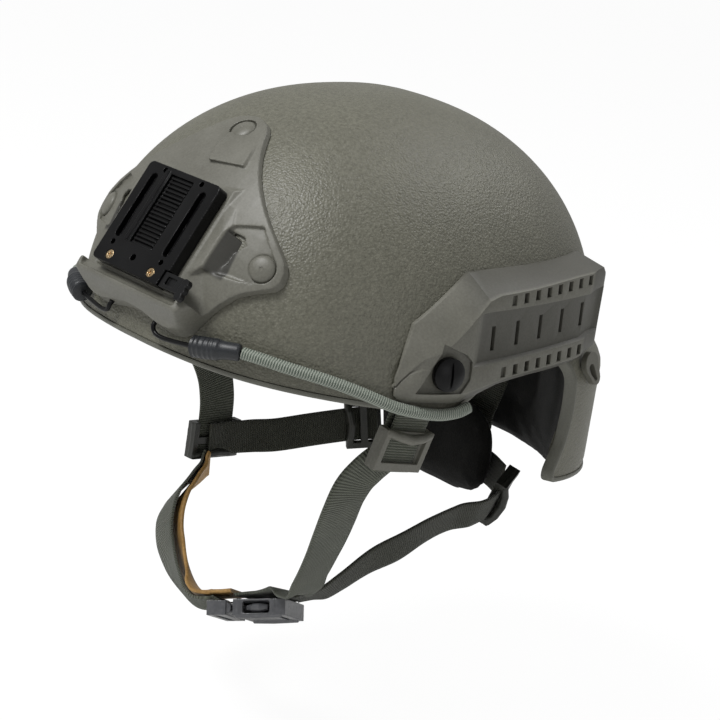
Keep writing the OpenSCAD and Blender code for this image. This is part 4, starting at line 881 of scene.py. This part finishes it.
# Camera, found from the photograph's outline and the sizes of known pieces. The axes are right, up and view.
CAMERA_PLACE = (0.7773, -0.7511, 0.3044)
CAMERA_AXES = ((0.6684, 0.7309, 0.1381), (-0.3038, 0.0989, 0.9476), (-0.6789, 0.6753, -0.2882))
CAMERA_LENS, CAMERA_SENSOR, CAMERA_REACH = 103.85, 36.0, 20.0
FLOOR_HEIGHT, FLOOR_SIZE = -0.235, 12
# How far the paper glows to the camera, and how strongly
PAPER_GLOW, GLOW_STRENGTH = 0.87, 1.08
# Strength of the studio's white to soft light, to reflections, and added for the camera
SOFT_LIGHT, REFLECTED_LIGHT, CAMERA_LIGHT = 0.2, 0.42, 0.58
# Name, place, size and power of each area light
LIGHTS = (
    ("key", (-0.25, -1.1, 1.65), 0.75, 30.0),
    ("fill", (1.9, -0.3, 0.4), 1.0, 2.5),
    ("back", (0.3, 1.2, 1.5), 1.0, 9.0),
)
LIT_POINT = (0, 0, 0.02)


def seamless_paper():
    """White paper with a faint fibre; it glows to the camera alone, as an overexposed backdrop does."""
    made, tree, shader = material("seamless_paper")
    paint(tree, shader, noise(tree, surface(tree), 300.0, 3.0), "#f1f1f0", "#f8f8f7")
    hold(shader, {"Roughness": 0.9})
    glow = add(tree, "ShaderNodeEmission", {"Color": (1, 1, 1, 1), "Strength": GLOW_STRENGTH})
    rays = add(tree, "ShaderNodeLightPath")
    part = calc(tree, "MULTIPLY", rays.outputs["Is Camera Ray"], PAPER_GLOW)
    blend = add(tree, "ShaderNodeMixShader",
                {0: part, 1: shader.outputs["BSDF"], 2: glow.outputs["Emission"]})
    output = next(node for node in tree.nodes if node.type == "OUTPUT_MATERIAL")
    tree.links.new(blend.outputs["Shader"], output.inputs["Surface"])
    return made


def studio_world():
    """White all round: weak as light, stronger in reflections, and plain white behind the helmet."""
    world = bpy.data.worlds.new("studio")
    world.use_nodes = True
    tree = world.node_tree
    tree.nodes.clear()
    rays = add(tree, "ShaderNodeLightPath")
    seen = calc(tree, "MAXIMUM", rays.outputs["Is Camera Ray"], rays.outputs["Is Glossy Ray"])
    level = spread(tree, seen, 0.0, 1.0, SOFT_LIGHT, REFLECTED_LIGHT)
    strength = calc(tree, "MULTIPLY_ADD", rays.outputs["Is Camera Ray"], CAMERA_LIGHT, level)
    sky = add(tree, "ShaderNodeBackground", {"Color": (1, 1, 1, 1), "Strength": strength})
    add(tree, "ShaderNodeOutputWorld", {"Surface": sky.outputs["Background"]})
    return world


class HELMET_OT_stage(bpy.types.Operator):
    """Set the camera at the photograph's angle, the floor and the studio light"""
    bl_idname = "helmet.stage"
    bl_label = "Stage"

    def execute(self, context):
        scene = context.scene
        data = bpy.data.cameras.new("photo_camera")
        data.sensor_width = CAMERA_SENSOR
        data.lens = CAMERA_LENS
        data.clip_end = CAMERA_REACH
        camera = bpy.data.objects.new("photo_camera", data)
        scene.collection.objects.link(camera)
        right, up, view = CAMERA_AXES
        turn = Matrix((right, up, [-v for v in view])).transposed()
        camera.matrix_world = Matrix.Translation(Vector(CAMERA_PLACE)) @ turn.to_4x4()
        scene.camera = camera

        paper = seamless_paper()
        deselect()
        bpy.ops.mesh.primitive_plane_add(size=FLOOR_SIZE, location=(0, 0, FLOOR_HEIGHT))
        floor = context.object
        floor.name = "floor"
        floor.data.materials.append(paper)
        scene.world = studio_world()

        for name, place, size, power in LIGHTS:
            light = bpy.data.lights.new(name, "AREA")
            light.size = size
            light.energy = power
            lamp = bpy.data.objects.new(name, light)
            scene.collection.objects.link(lamp)
            lamp.location = place
            lamp.rotation_euler = (Vector(LIT_POINT) - Vector(place)).to_track_quat("-Z", "Y").to_euler()
        scene.view_settings.view_transform = "Standard"
        return {"FINISHED"}


# Bungees, in millimetres
CORD_RADIUS, WIRE_RADIUS = 3.0, 1.2
GRIP_RADIUS, RING_DEPTH, RING_PITCH = 5.5, 0.45, 2.4
SLEEVE_RADIUS, SLEEVE_FLARE, FLARE_LENGTH = 4.3, 0.9, 1.6


def mirrored_rows(rows, mirror):
    out = np.array(rows, float)
    if mirror:
        out[:, 0] *= -1
    return out


def grip_radii(grip, sleeve):
    """Radii along the rubber grip: moulded rings on the grip, then a plain sleeve for the cord."""
    ring = GRIP_RADIUS - RING_DEPTH * (np.cos(2 * np.pi * lengths(grip) / RING_PITCH) > 0.35)
    ring = np.convolve(np.pad(ring, 2, mode="edge"), [0.2, 0.2, 0.2, 0.2, 0.2], mode="valid")
    ring[:4] -= np.array([2.2, 1.1, 0.5, 0.15])
    neck = SLEEVE_RADIUS + SLEEVE_FLARE * np.exp(-lengths(sleeve) / FLARE_LENGTH)
    neck[-3:] -= np.array([0.1, 0.35, 0.9])
    return np.concatenate([ring, neck])


class HELMET_OT_bungees(bpy.types.Operator):
    """Elastic cords with rubber grips and wire hooks"""
    bl_idname = "helmet.bungees"
    bl_label = "Bungees"

    def execute(self, context):
        for side, mirror in (("left", False), ("right", True)):
            route = spline(mirrored_rows(BUNGEE, mirror), 2)
            fine = spline(mirrored_rows(BUNGEE, mirror), 10)
            cord = tube(f"elastic_cord_{side}", fine, CORD_RADIUS, 20)
            settle(smooth(cord, 60), "braided_elastic_sheath", "elastic_cord", f"bungee_cord_{side}")

            grip = spline(mirrored_rows(GRIP, mirror), 24)
            sleeve = spline(mirrored_rows(SLEEVE, mirror), 12)
            grip_piece = tube(f"ringed_grip_{side}", np.vstack([grip, sleeve]), grip_radii(grip, sleeve), 28)
            settle(smooth(grip_piece, 50), "moulded_grip_rubber", "grip_rubber", f"bungee_grip_{side}")

            wire = spline(mirrored_rows(HOOK, mirror), 12)
            radii = np.full(len(wire), WIRE_RADIUS)
            radii[:2] = 0.7, 1.05
            hook = tube(f"wire_hook_{side}", wire, radii, 14, turn=(0, 1, 0.3))
            settle(smooth(hook, 60), "blackened_steel", "dark_steel", f"bungee_hook_{side}")
        return {"FINISHED"}


# Number of rings up the skirt and over the dome
OUTER_RINGS, INNER_RINGS = (22, 40), (12, 24)


def shell_rings(edge, off, skirt, dome):
    """Rings of the shell's skin, moved outwards by off: up the skirt, then over the dome."""
    out = []
    for f in np.linspace(0, 1, skirt + 1):
        angle = edge[:, 1] + wrap(edge[:, 0] - edge[:, 1]) * smooth01(f)
        out.append(skin(angle, edge[:, 2] + (CREASE - edge[:, 2]) * f, off))
    start = math.asin((CREASE / (SHELL_HEIGHT + off)) ** (SIDE_POWER / 2))
    for k in range(1, dome + 1):
        lift = start + (math.pi / 2 - start) * k / dome
        z = (SHELL_HEIGHT + off) * math.sin(min(lift, math.pi / 2)) ** (2 / SIDE_POWER)
        out.append(skin(edge[:, 0], np.full(len(edge), z), off))
    return out


def closed_sheet(name, rings, degrees):
    """A sheet through closed rings that ends where it starts."""
    places = np.concatenate([rings, rings[:, :1]], axis=1)
    return smooth(close_up(sheet_from(name, places), gap=2e-6, fill=False), degrees)


class HELMET_OT_shell(bpy.types.Operator):
    """Laminate shell with its flared skirt, and the band over its edge"""
    bl_idname = "helmet.shell"
    bl_label = "Shell"

    def execute(self, context):
        edge = shell_edge(6)
        outer = shell_rings(edge, 0, *OUTER_RINGS)
        inner = shell_rings(edge, -SHELL_WALL, *INNER_RINGS)
        settle(closed_sheet("laminate_shell", np.array(inner[::-1] + outer), 60), "sprayed_grit_coat",
               "shell_paint", "shell")

        outside = skin(edge[:, 1], edge[:, 2], 0)
        inside = skin(edge[:, 1], edge[:, 2], -SHELL_WALL)
        along = np.roll(outside, -1, axis=0) - np.roll(outside, 1, axis=0)
        along /= np.linalg.norm(along, axis=1)[:, None]
        out = outside - inside
        full = np.linalg.norm(out, axis=1)[:, None]
        out /= full
        down = np.cross(along, out)
        down /= np.linalg.norm(down, axis=1)[:, None]
        # The band's section: out from a face, down from the edge, and which face, 0 inside or 1 outside.
        lip, high = TRIM_LIP, TRIM_HEIGHT
        half = [(0.15, 0.2, 0), (-lip * 0.8, high * 0.12, 0), (-lip, high * 0.35, 0), (-lip, high * 0.62, 0),
                (-lip * 0.55, high * 0.86, 0), (lip * 0.4, high, 0)]
        profile = half + [(-r, d, 1) for r, d, _ in half[::-1]] + half[:1]
        band = np.array([inside + out * (r + full * far) + down * d for r, d, far in profile])
        settle(closed_sheet("edge_band", band, 50), "extruded_edge_rubber", "trim_polymer", "edge_trim")
        return {"FINISHED"}


# Shroud screws: place as x and up, how far the seat stands off the shell, and profile of radius and height
SHROUD_SCREWS = ((0, 63), (61, 3.5), (-61, 3.5))
SCREW_RISE = 1.6
SCREW_DOME = [(0.5, 2.7), (1.0, 3.05), (2.4, 2.95), (4.4, 2.55), (5.8, 1.95), (6.5, 1.3), (6.7, 0.9),
              (6.7, -0.6), (2.4, -0.6), (2.4, -7.6)]
# Corners of the plate that are round, their radius, and how far the cut runs out of the plate's plane
PLATE_CORNERS = ((-28, 28.5), (28, 28.5), (-28, -28.5))
CORNER_RADIUS, CORNER_RUN = 3, (-9, 3)


def flatten_lobe(shroud):
    """Lays the CAD's wedge on the top lobe down to the lobe's plane, to make room for the drawn pad."""
    for vertex in shroud.data.vertices:
        away = np.array(vertex.co) / MM - PLATE[0]
        up, out = away @ PLATE_UP, away @ PLATE_OUT
        lobe = LOBE_OUT - LOBE_FALL * (up - LOBE_UP)
        if abs(away[0]) < WEDGE_HALF and WEDGE_LOW < up < WEDGE_HIGH and out > lobe:
            vertex.co = Vector((np.array(vertex.co) - PLATE_OUT * (out - lobe) * MM).tolist())


def corner_cut(x, up):
    """What is outside the arc of one rounded corner of the plate."""
    a, b, radius = math.copysign(1, x), math.copysign(1, up), CORNER_RADIUS
    arc = [(x - a * radius + a * radius * math.sin(t), up - b * radius + b * radius * math.cos(t))
           for t in np.linspace(0, math.pi / 2, 7)]
    arc += [(x + a, up - b * radius), (x + a, up + b), (x - a * radius, up + b)]
    return between_rings(PLATE, *([(p, q, out) for p, q in arc] for out in CORNER_RUN))


class HELMET_OT_shroud(bpy.types.Operator):
    """Front shroud, its screws, the mounting plate and the side latch"""
    bl_idname = "helmet.shroud"
    bl_label = "Front shroud"

    def execute(self, context):
        cuts = [between_rings(PLATE, *ring) for ring in (TRIANGLE, TRAY)]
        added = [between_rings(PLATE, *ring) for ring in WEDGE_PAD]
        for side in (1, -1):
            shelf = ([(side * x, up, out) for x, out in SHELF_END] for up in SHELF_RUN)
            cuts.append(between_rings(PLATE, *shelf))
            for form in (BED_SIDE, WINDOW_RAMP):
                rings = ([(side * x, up, out) for x, up, out in ring] for ring in form)
                added.append(between_rings(PLATE, *rings))
        shroud = solid_copy("shroud_frame", "moulded_shroud", 0)
        flatten_lobe(shroud)
        melt(cut_away(shroud, cuts), *SHROUD_SKIN, *added)
        # The shelf's front, the lower border of each window, and the window's floor
        soften(shroud, PLATE, lambda x, up, out: up < -27 and out > -17, 12)
        soften(shroud, PLATE, lambda x, up, out: 36 < abs(x) < 57 and -17 < up < -6, 12)
        soften(shroud, PLATE, lambda x, up, out: 43 < abs(x) < 51 and -8 < up < 14 and out < -11, 6)
        nylon = "moulded_glass_filled_nylon", "shroud_polymer"
        settle(shroud, *nylon, "shroud_frame")

        heads = [turned(f"shroud_screw_{k}", on_skin(*place, SCREW_RISE), SCREW_DOME)
                 for k, place in enumerate(SHROUD_SCREWS)]
        settle(heads[0], *nylon, "shroud_screws", body="helmet")
        for head in heads[1:]:
            settle(head, *nylon, body="helmet")

        strip = block(PLATE, (1.9, 39, 1.2), (-11.6, 5.8, 0.1), 0.3)
        corners = [corner_cut(*corner) for corner in PLATE_CORNERS]
        settle(moulded_copy("mounting_plate", "ribbed_plate", *PLATE_SKIN, strip, cuts=corners),
               "black_anodised_aluminium", "black_metal", "mounting_plate")
        settle(solid_copy("plate_screws", "cross_recess_screws", 0.15), "plated_screw_brass", "brass",
               "plate_screws")
        settle(moulded_copy("side_latch", "lobed_latch", *LATCH_SKIN), "moulded_black_acetal", "black_polymer",
               "side_latch")
        return {"FINISHED"}


class HELMET_OT_rails(bpy.types.Operator):
    """Side rails with their bolts, screws, tabs and goggle hooks"""
    bl_idname = "helmet.rails"
    bl_label = "Side rails"

    def execute(self, context):
        for side in ("left", "right"):
            settle(solid_copy(f"rail_{side}", f"accessory_rail_{side}", 0.5), "moulded_rail_nylon",
                   "shroud_polymer", f"rail_{side}")
            settle(moulded_copy(f"goggle_hook_{side}", f"strap_hook_{side}", *HOOK_SKIN),
                   "moulded_glass_filled_nylon", "shroud_polymer", f"goggle_hook_{side}")
        for node, name, bevel, slot in (
                ("rail_front_bolts", "domed_bolts", 0.3, "black_metal"),
                ("rail_rear_screws", "rear_screws", 0.2, "black_metal"),
                ("strap_tabs", "pressed_tabs", 0.25, "dark_steel"),
                ("strap_nuts", "hex_nuts", 0.3, "dark_steel")):
            settle(solid_copy(node, name, bevel), "blackened_steel", slot, node)
        return {"FINISHED"}


# The pads' cloth: how far the solid is drawn in first, in metres, and the simulation
PAD_INSET = -1.0 * MM
CLOTH_PRESSURE, CLOTH_TENSION, CLOTH_QUALITY, CLOTH_STEPS = 4.0, 15.0, 5, 20


def swell(obj, lift, voxel):
    """Blows the pad up as cloth, and keeps each point near where it was."""
    take(obj)
    obj.data.remesh_voxel_size = voxel
    bpy.ops.object.voxel_remesh()
    rest = points_of(obj)
    cloth = obj.modifiers.new("Cloth", "CLOTH")
    cloth.settings.use_pressure = True
    cloth.settings.uniform_pressure_force = CLOTH_PRESSURE
    cloth.settings.effector_weights.gravity = 0.0
    cloth.settings.tension_stiffness = CLOTH_TENSION
    cloth.settings.quality = CLOTH_QUALITY
    scene = bpy.context.scene
    for step in range(1, CLOTH_STEPS + 1):
        scene.frame_set(step)
    take(obj)
    bpy.ops.object.modifier_apply(modifier=cloth.name)
    scene.frame_set(1)
    move = points_of(obj) - rest
    far = np.linalg.norm(move, axis=1)
    move *= np.minimum(1, lift / np.maximum(far, 1e-9))[:, None]
    put_points(obj, rest + move)
    return modify(obj, "SUBSURF", levels=1, render_levels=1)


class HELMET_OT_liner(bpy.types.Operator):
    """Foam pads in brushed cloth and the nape pad"""
    bl_idname = "helmet.liner"
    bl_label = "Liner pads"

    def execute(self, context):
        sizes = context.scene.helmet_sizes
        for node, name in (("pad_front", "brow_pad"), ("pad_crown", "crown_pad"), ("pad_rear", "rear_pad"),
                           ("pad_side_left", "side_pad_left"), ("pad_side_right", "side_pad_right"),
                           ("nape_pad", "nape_cushion")):
            lift = sizes.nape_lift if node == "nape_pad" else sizes.pad_lift
            pad = solid_copy(node, name, 0)
            modify(pad, "DISPLACE", strength=PAD_INSET, mid_level=0.0)
            swell(pad, lift, sizes.voxel)
            take(pad)
            bpy.ops.object.shade_smooth()
            settle(pad, "brushed_loop_cloth", "pad_fabric", node)
        return {"FINISHED"}


# Straps, in millimetres
WEB, NARROW, WEB_THICK, LINING_THICK, STRAP_STEPS = 25.0, 20.0, 1.6, 2.2, 8
# How much wider the lining is than the strap, and how far a slider reaches past the strap on each side
LINING_EXTRA, SLIDER_REACH = 3, 2.6


def through(knots, end=()):
    rows = spline(knots, STRAP_STEPS)
    return np.vstack([rows, np.array(end)]) if end else rows


def strap(name, rows, width, finish, *nodes, body=None):
    return settle(ribbon(name, rows, width, WEB_THICK), finish, "webbing", *nodes, body=body)


def hang(obj):
    """Bakes the strap's placement into its mesh."""
    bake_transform(obj)


def slider(node, rows, k, width):
    """A ladder slider at a point of a strap, with a curved finger bar and two thick arms."""
    place = spline(rows, 2)
    along = directions(place[:, :3])[k]
    across = unit(place[k, 3:6] - along * (place[k, 3:6] @ along))
    at = (place[k, :3], across, along, np.cross(across, along))
    half = width / 2 + SLIDER_REACH
    pale = node == "front_slider_left"
    flip = -1 if pale else 1
    finger = rod(at, [(x, flip * up, flip * rise) for x, up, rise in (
        (-half - 1, 9.5, 2.2), (-half * 0.6, 8.4, 4.4), (0, 7.2, 5.2), (half * 0.6, 8.4, 4.4),
        (half + 1, 9.5, 2.2))], [2.1, 2.4, 2.6, 2.4, 2.1])
    arms = [rod(at, [(x, -10, 0.3), (x, 0, 1), (x, 10, 0.3)], 2.5) for x in (-half, half)]
    finish = "moulded_glass_filled_nylon" if pale else "moulded_dark_nylon"
    looks = finish, "shroud_polymer" if pale else "dark_polymer"
    settle(moulded_copy(node, node.replace("slider", "ladder"), *SLIDER_SKIN, finger, *arms), *looks, node)


class HELMET_OT_harness(bpy.types.Operator):
    """Webbing straps, sliders, leather lining and nape webbing"""
    bl_idname = "helmet.harness"
    bl_label = "Chin harness"

    def execute(self, context):
        # The shaded webbing is darker partly by its own colour and partly by painted shade.
        plain, shaded = "woven_nylon_webbing", "woven_shaded_webbing"
        strap("front_strap_left_web", through(FRONT_LEFT), WEB, plain, "front_strap_left")
        strap("front_strap_left_tail", through(TAIL), WEB, plain, body="harness")
        strap("front_strap_right_web", through(FRONT_RIGHT), WEB, plain, "front_strap_right")
        for side, rows in (("left", through(REAR_LEFT, REAR_LEFT_END)), ("right", through(REAR_RIGHT))):
            rear = strap(f"rear_strap_{side}_web", rows, NARROW, shaded, f"rear_strap_{side}", body="blended")
            hang(rear)
        rows = through(CHIN, CHIN_END)
        chin = strap("chin_strap_right_web", rows, WEB, plain, "chin_strap_right", body="blended")
        hang(chin)
        rows = through(CHIN, LINING_END)
        lining = ribbon("leather_lining", rows, WEB + LINING_EXTRA, LINING_THICK, shift=2.8, bow=3.0, edge=0.8)
        settle(lining, "tanned_leather", "leather", "chin_lining", body="blended")
        hang(lining)

        for k, mirror in enumerate((False, True)):
            top, side = (through(mirrored_rows(rows, mirror)) for rows in (NAPE_TOP, NAPE_SIDE))
            strap(f"nape_webbing_top_{k}", top, NARROW, shaded, "nape_webbing")
            strap(f"nape_webbing_side_{k}", side, NARROW, shaded, body="helmet")
        slider("front_slider_left", TAIL, 6, WEB)
        slider("front_slider_right", FRONT_RIGHT, 16, WEB)
        slider("rear_slider_left", REAR_LEFT, 4, NARROW)
        slider("rear_slider_right", REAR_RIGHT, 2, NARROW)
        return {"FINISHED"}


class HELMET_OT_buckle(bpy.types.Operator):
    """Side-release buckle"""
    bl_idname = "helmet.buckle"
    bl_label = "Buckle"

    def execute(self, context):
        at = (BUCKLE_CENTRE, BX, BY, BZ)
        looks = "polished_moulded_acetal", "buckle_polymer"
        # Rounded bars over the window's ends, then its uprights, then the lower edges
        bars = [rod(at, [(x, -13.5, 3.6), (x, 0, 4.1), (x, 13.5, 3.6)], 1.7) for x in (-7.2, 14.0)]
        bars += [rod(at, [(x, y, -4.2), (x, y * 1.03, 0), (x, y, 4.2)], 2.1) for x in (-6.2, 13.6)
                 for y in (-14.2, 14.2)]
        bars += [rod(at, [(-8, y, -4.4), (4, y * 1.01, -4.6), (18, y * 0.97, -4.2)], 1.3)
                 for y in (-14.4, 14.4)]
        openings = [block(at, (15.4, 6, 6.6), (3.8, y, 0.2), 1.2, 3) for y in (-15, 15)]
        settle(moulded_copy("buckle_socket", "buckle_socket_body", *BUCKLE_SKIN, *bars, cuts=openings), *looks,
               "buckle_socket")
        collar = [rod(at, [(-14.2, -14.5, 0), (-13.8, 0, 0.6), (-14.2, 14.5, 0)], [3.2, 4.4, 3.2]),
                  rod(at, [(-18.4, -13.6, 0), (-18.6, 0, 0.4), (-18.4, 13.6, 0)], [2.8, 3.8, 2.8])]
        settle(moulded_copy("buckle_plug", "buckle_plug_body", *BUCKLE_SKIN, *collar), *looks, "buckle_plug")
        for node, y in (("buckle_prong_front", -1), ("buckle_prong_rear", 1)):
            paddle = rod(at, [(-2.2, y * 11.6, 0), (1.4, y * 12.9, 0), (5, y * 13.3, 0), (9.2, y * 12.3, 0)],
                         [1.6, 2.3, 2.5, 1.7])
            settle(moulded_copy(node, f"{node}_body", *PRONG_SKIN, paddle), *looks, node)
        return {"FINISHED"}


STEPS = (HELMET_OT_stage, HELMET_OT_finishes, HELMET_OT_bungees, HELMET_OT_shell, HELMET_OT_shroud,
         HELMET_OT_rails, HELMET_OT_liner, HELMET_OT_harness, HELMET_OT_buckle)


class HELMET_PT_panel(bpy.types.Panel):
    """Lists the helmet's pieces"""
    bl_idname = "HELMET_PT_panel"
    bl_label = "Combat helmet"
    bl_space_type = "VIEW_3D"
    bl_region_type = "UI"
    bl_category = "Helmet"

    def draw(self, context):
        for step in STEPS:
            self.layout.operator(step.bl_idname)
        for group in (context.scene.helmet_colours, context.scene.helmet_sizes):
            for name in group.__annotations__:
                self.layout.prop(group, name)


CLASSES = (HelmetColours, HelmetSizes) + STEPS + (HELMET_PT_panel,)


def register():
    for cls in CLASSES:
        bpy.utils.register_class(cls)
    bpy.types.Scene.helmet_colours = bpy.props.PointerProperty(type=HelmetColours)
    bpy.types.Scene.helmet_sizes = bpy.props.PointerProperty(type=HelmetSizes)


def unregister():
    del bpy.types.Scene.helmet_sizes
    del bpy.types.Scene.helmet_colours
    for cls in reversed(CLASSES):
        bpy.utils.unregister_class(cls)


def main():
    register()
    for step in STEPS:
        group, name = step.bl_idname.split(".")
        getattr(getattr(bpy.ops, group), name)()


if __name__ == "__main__":
    main()
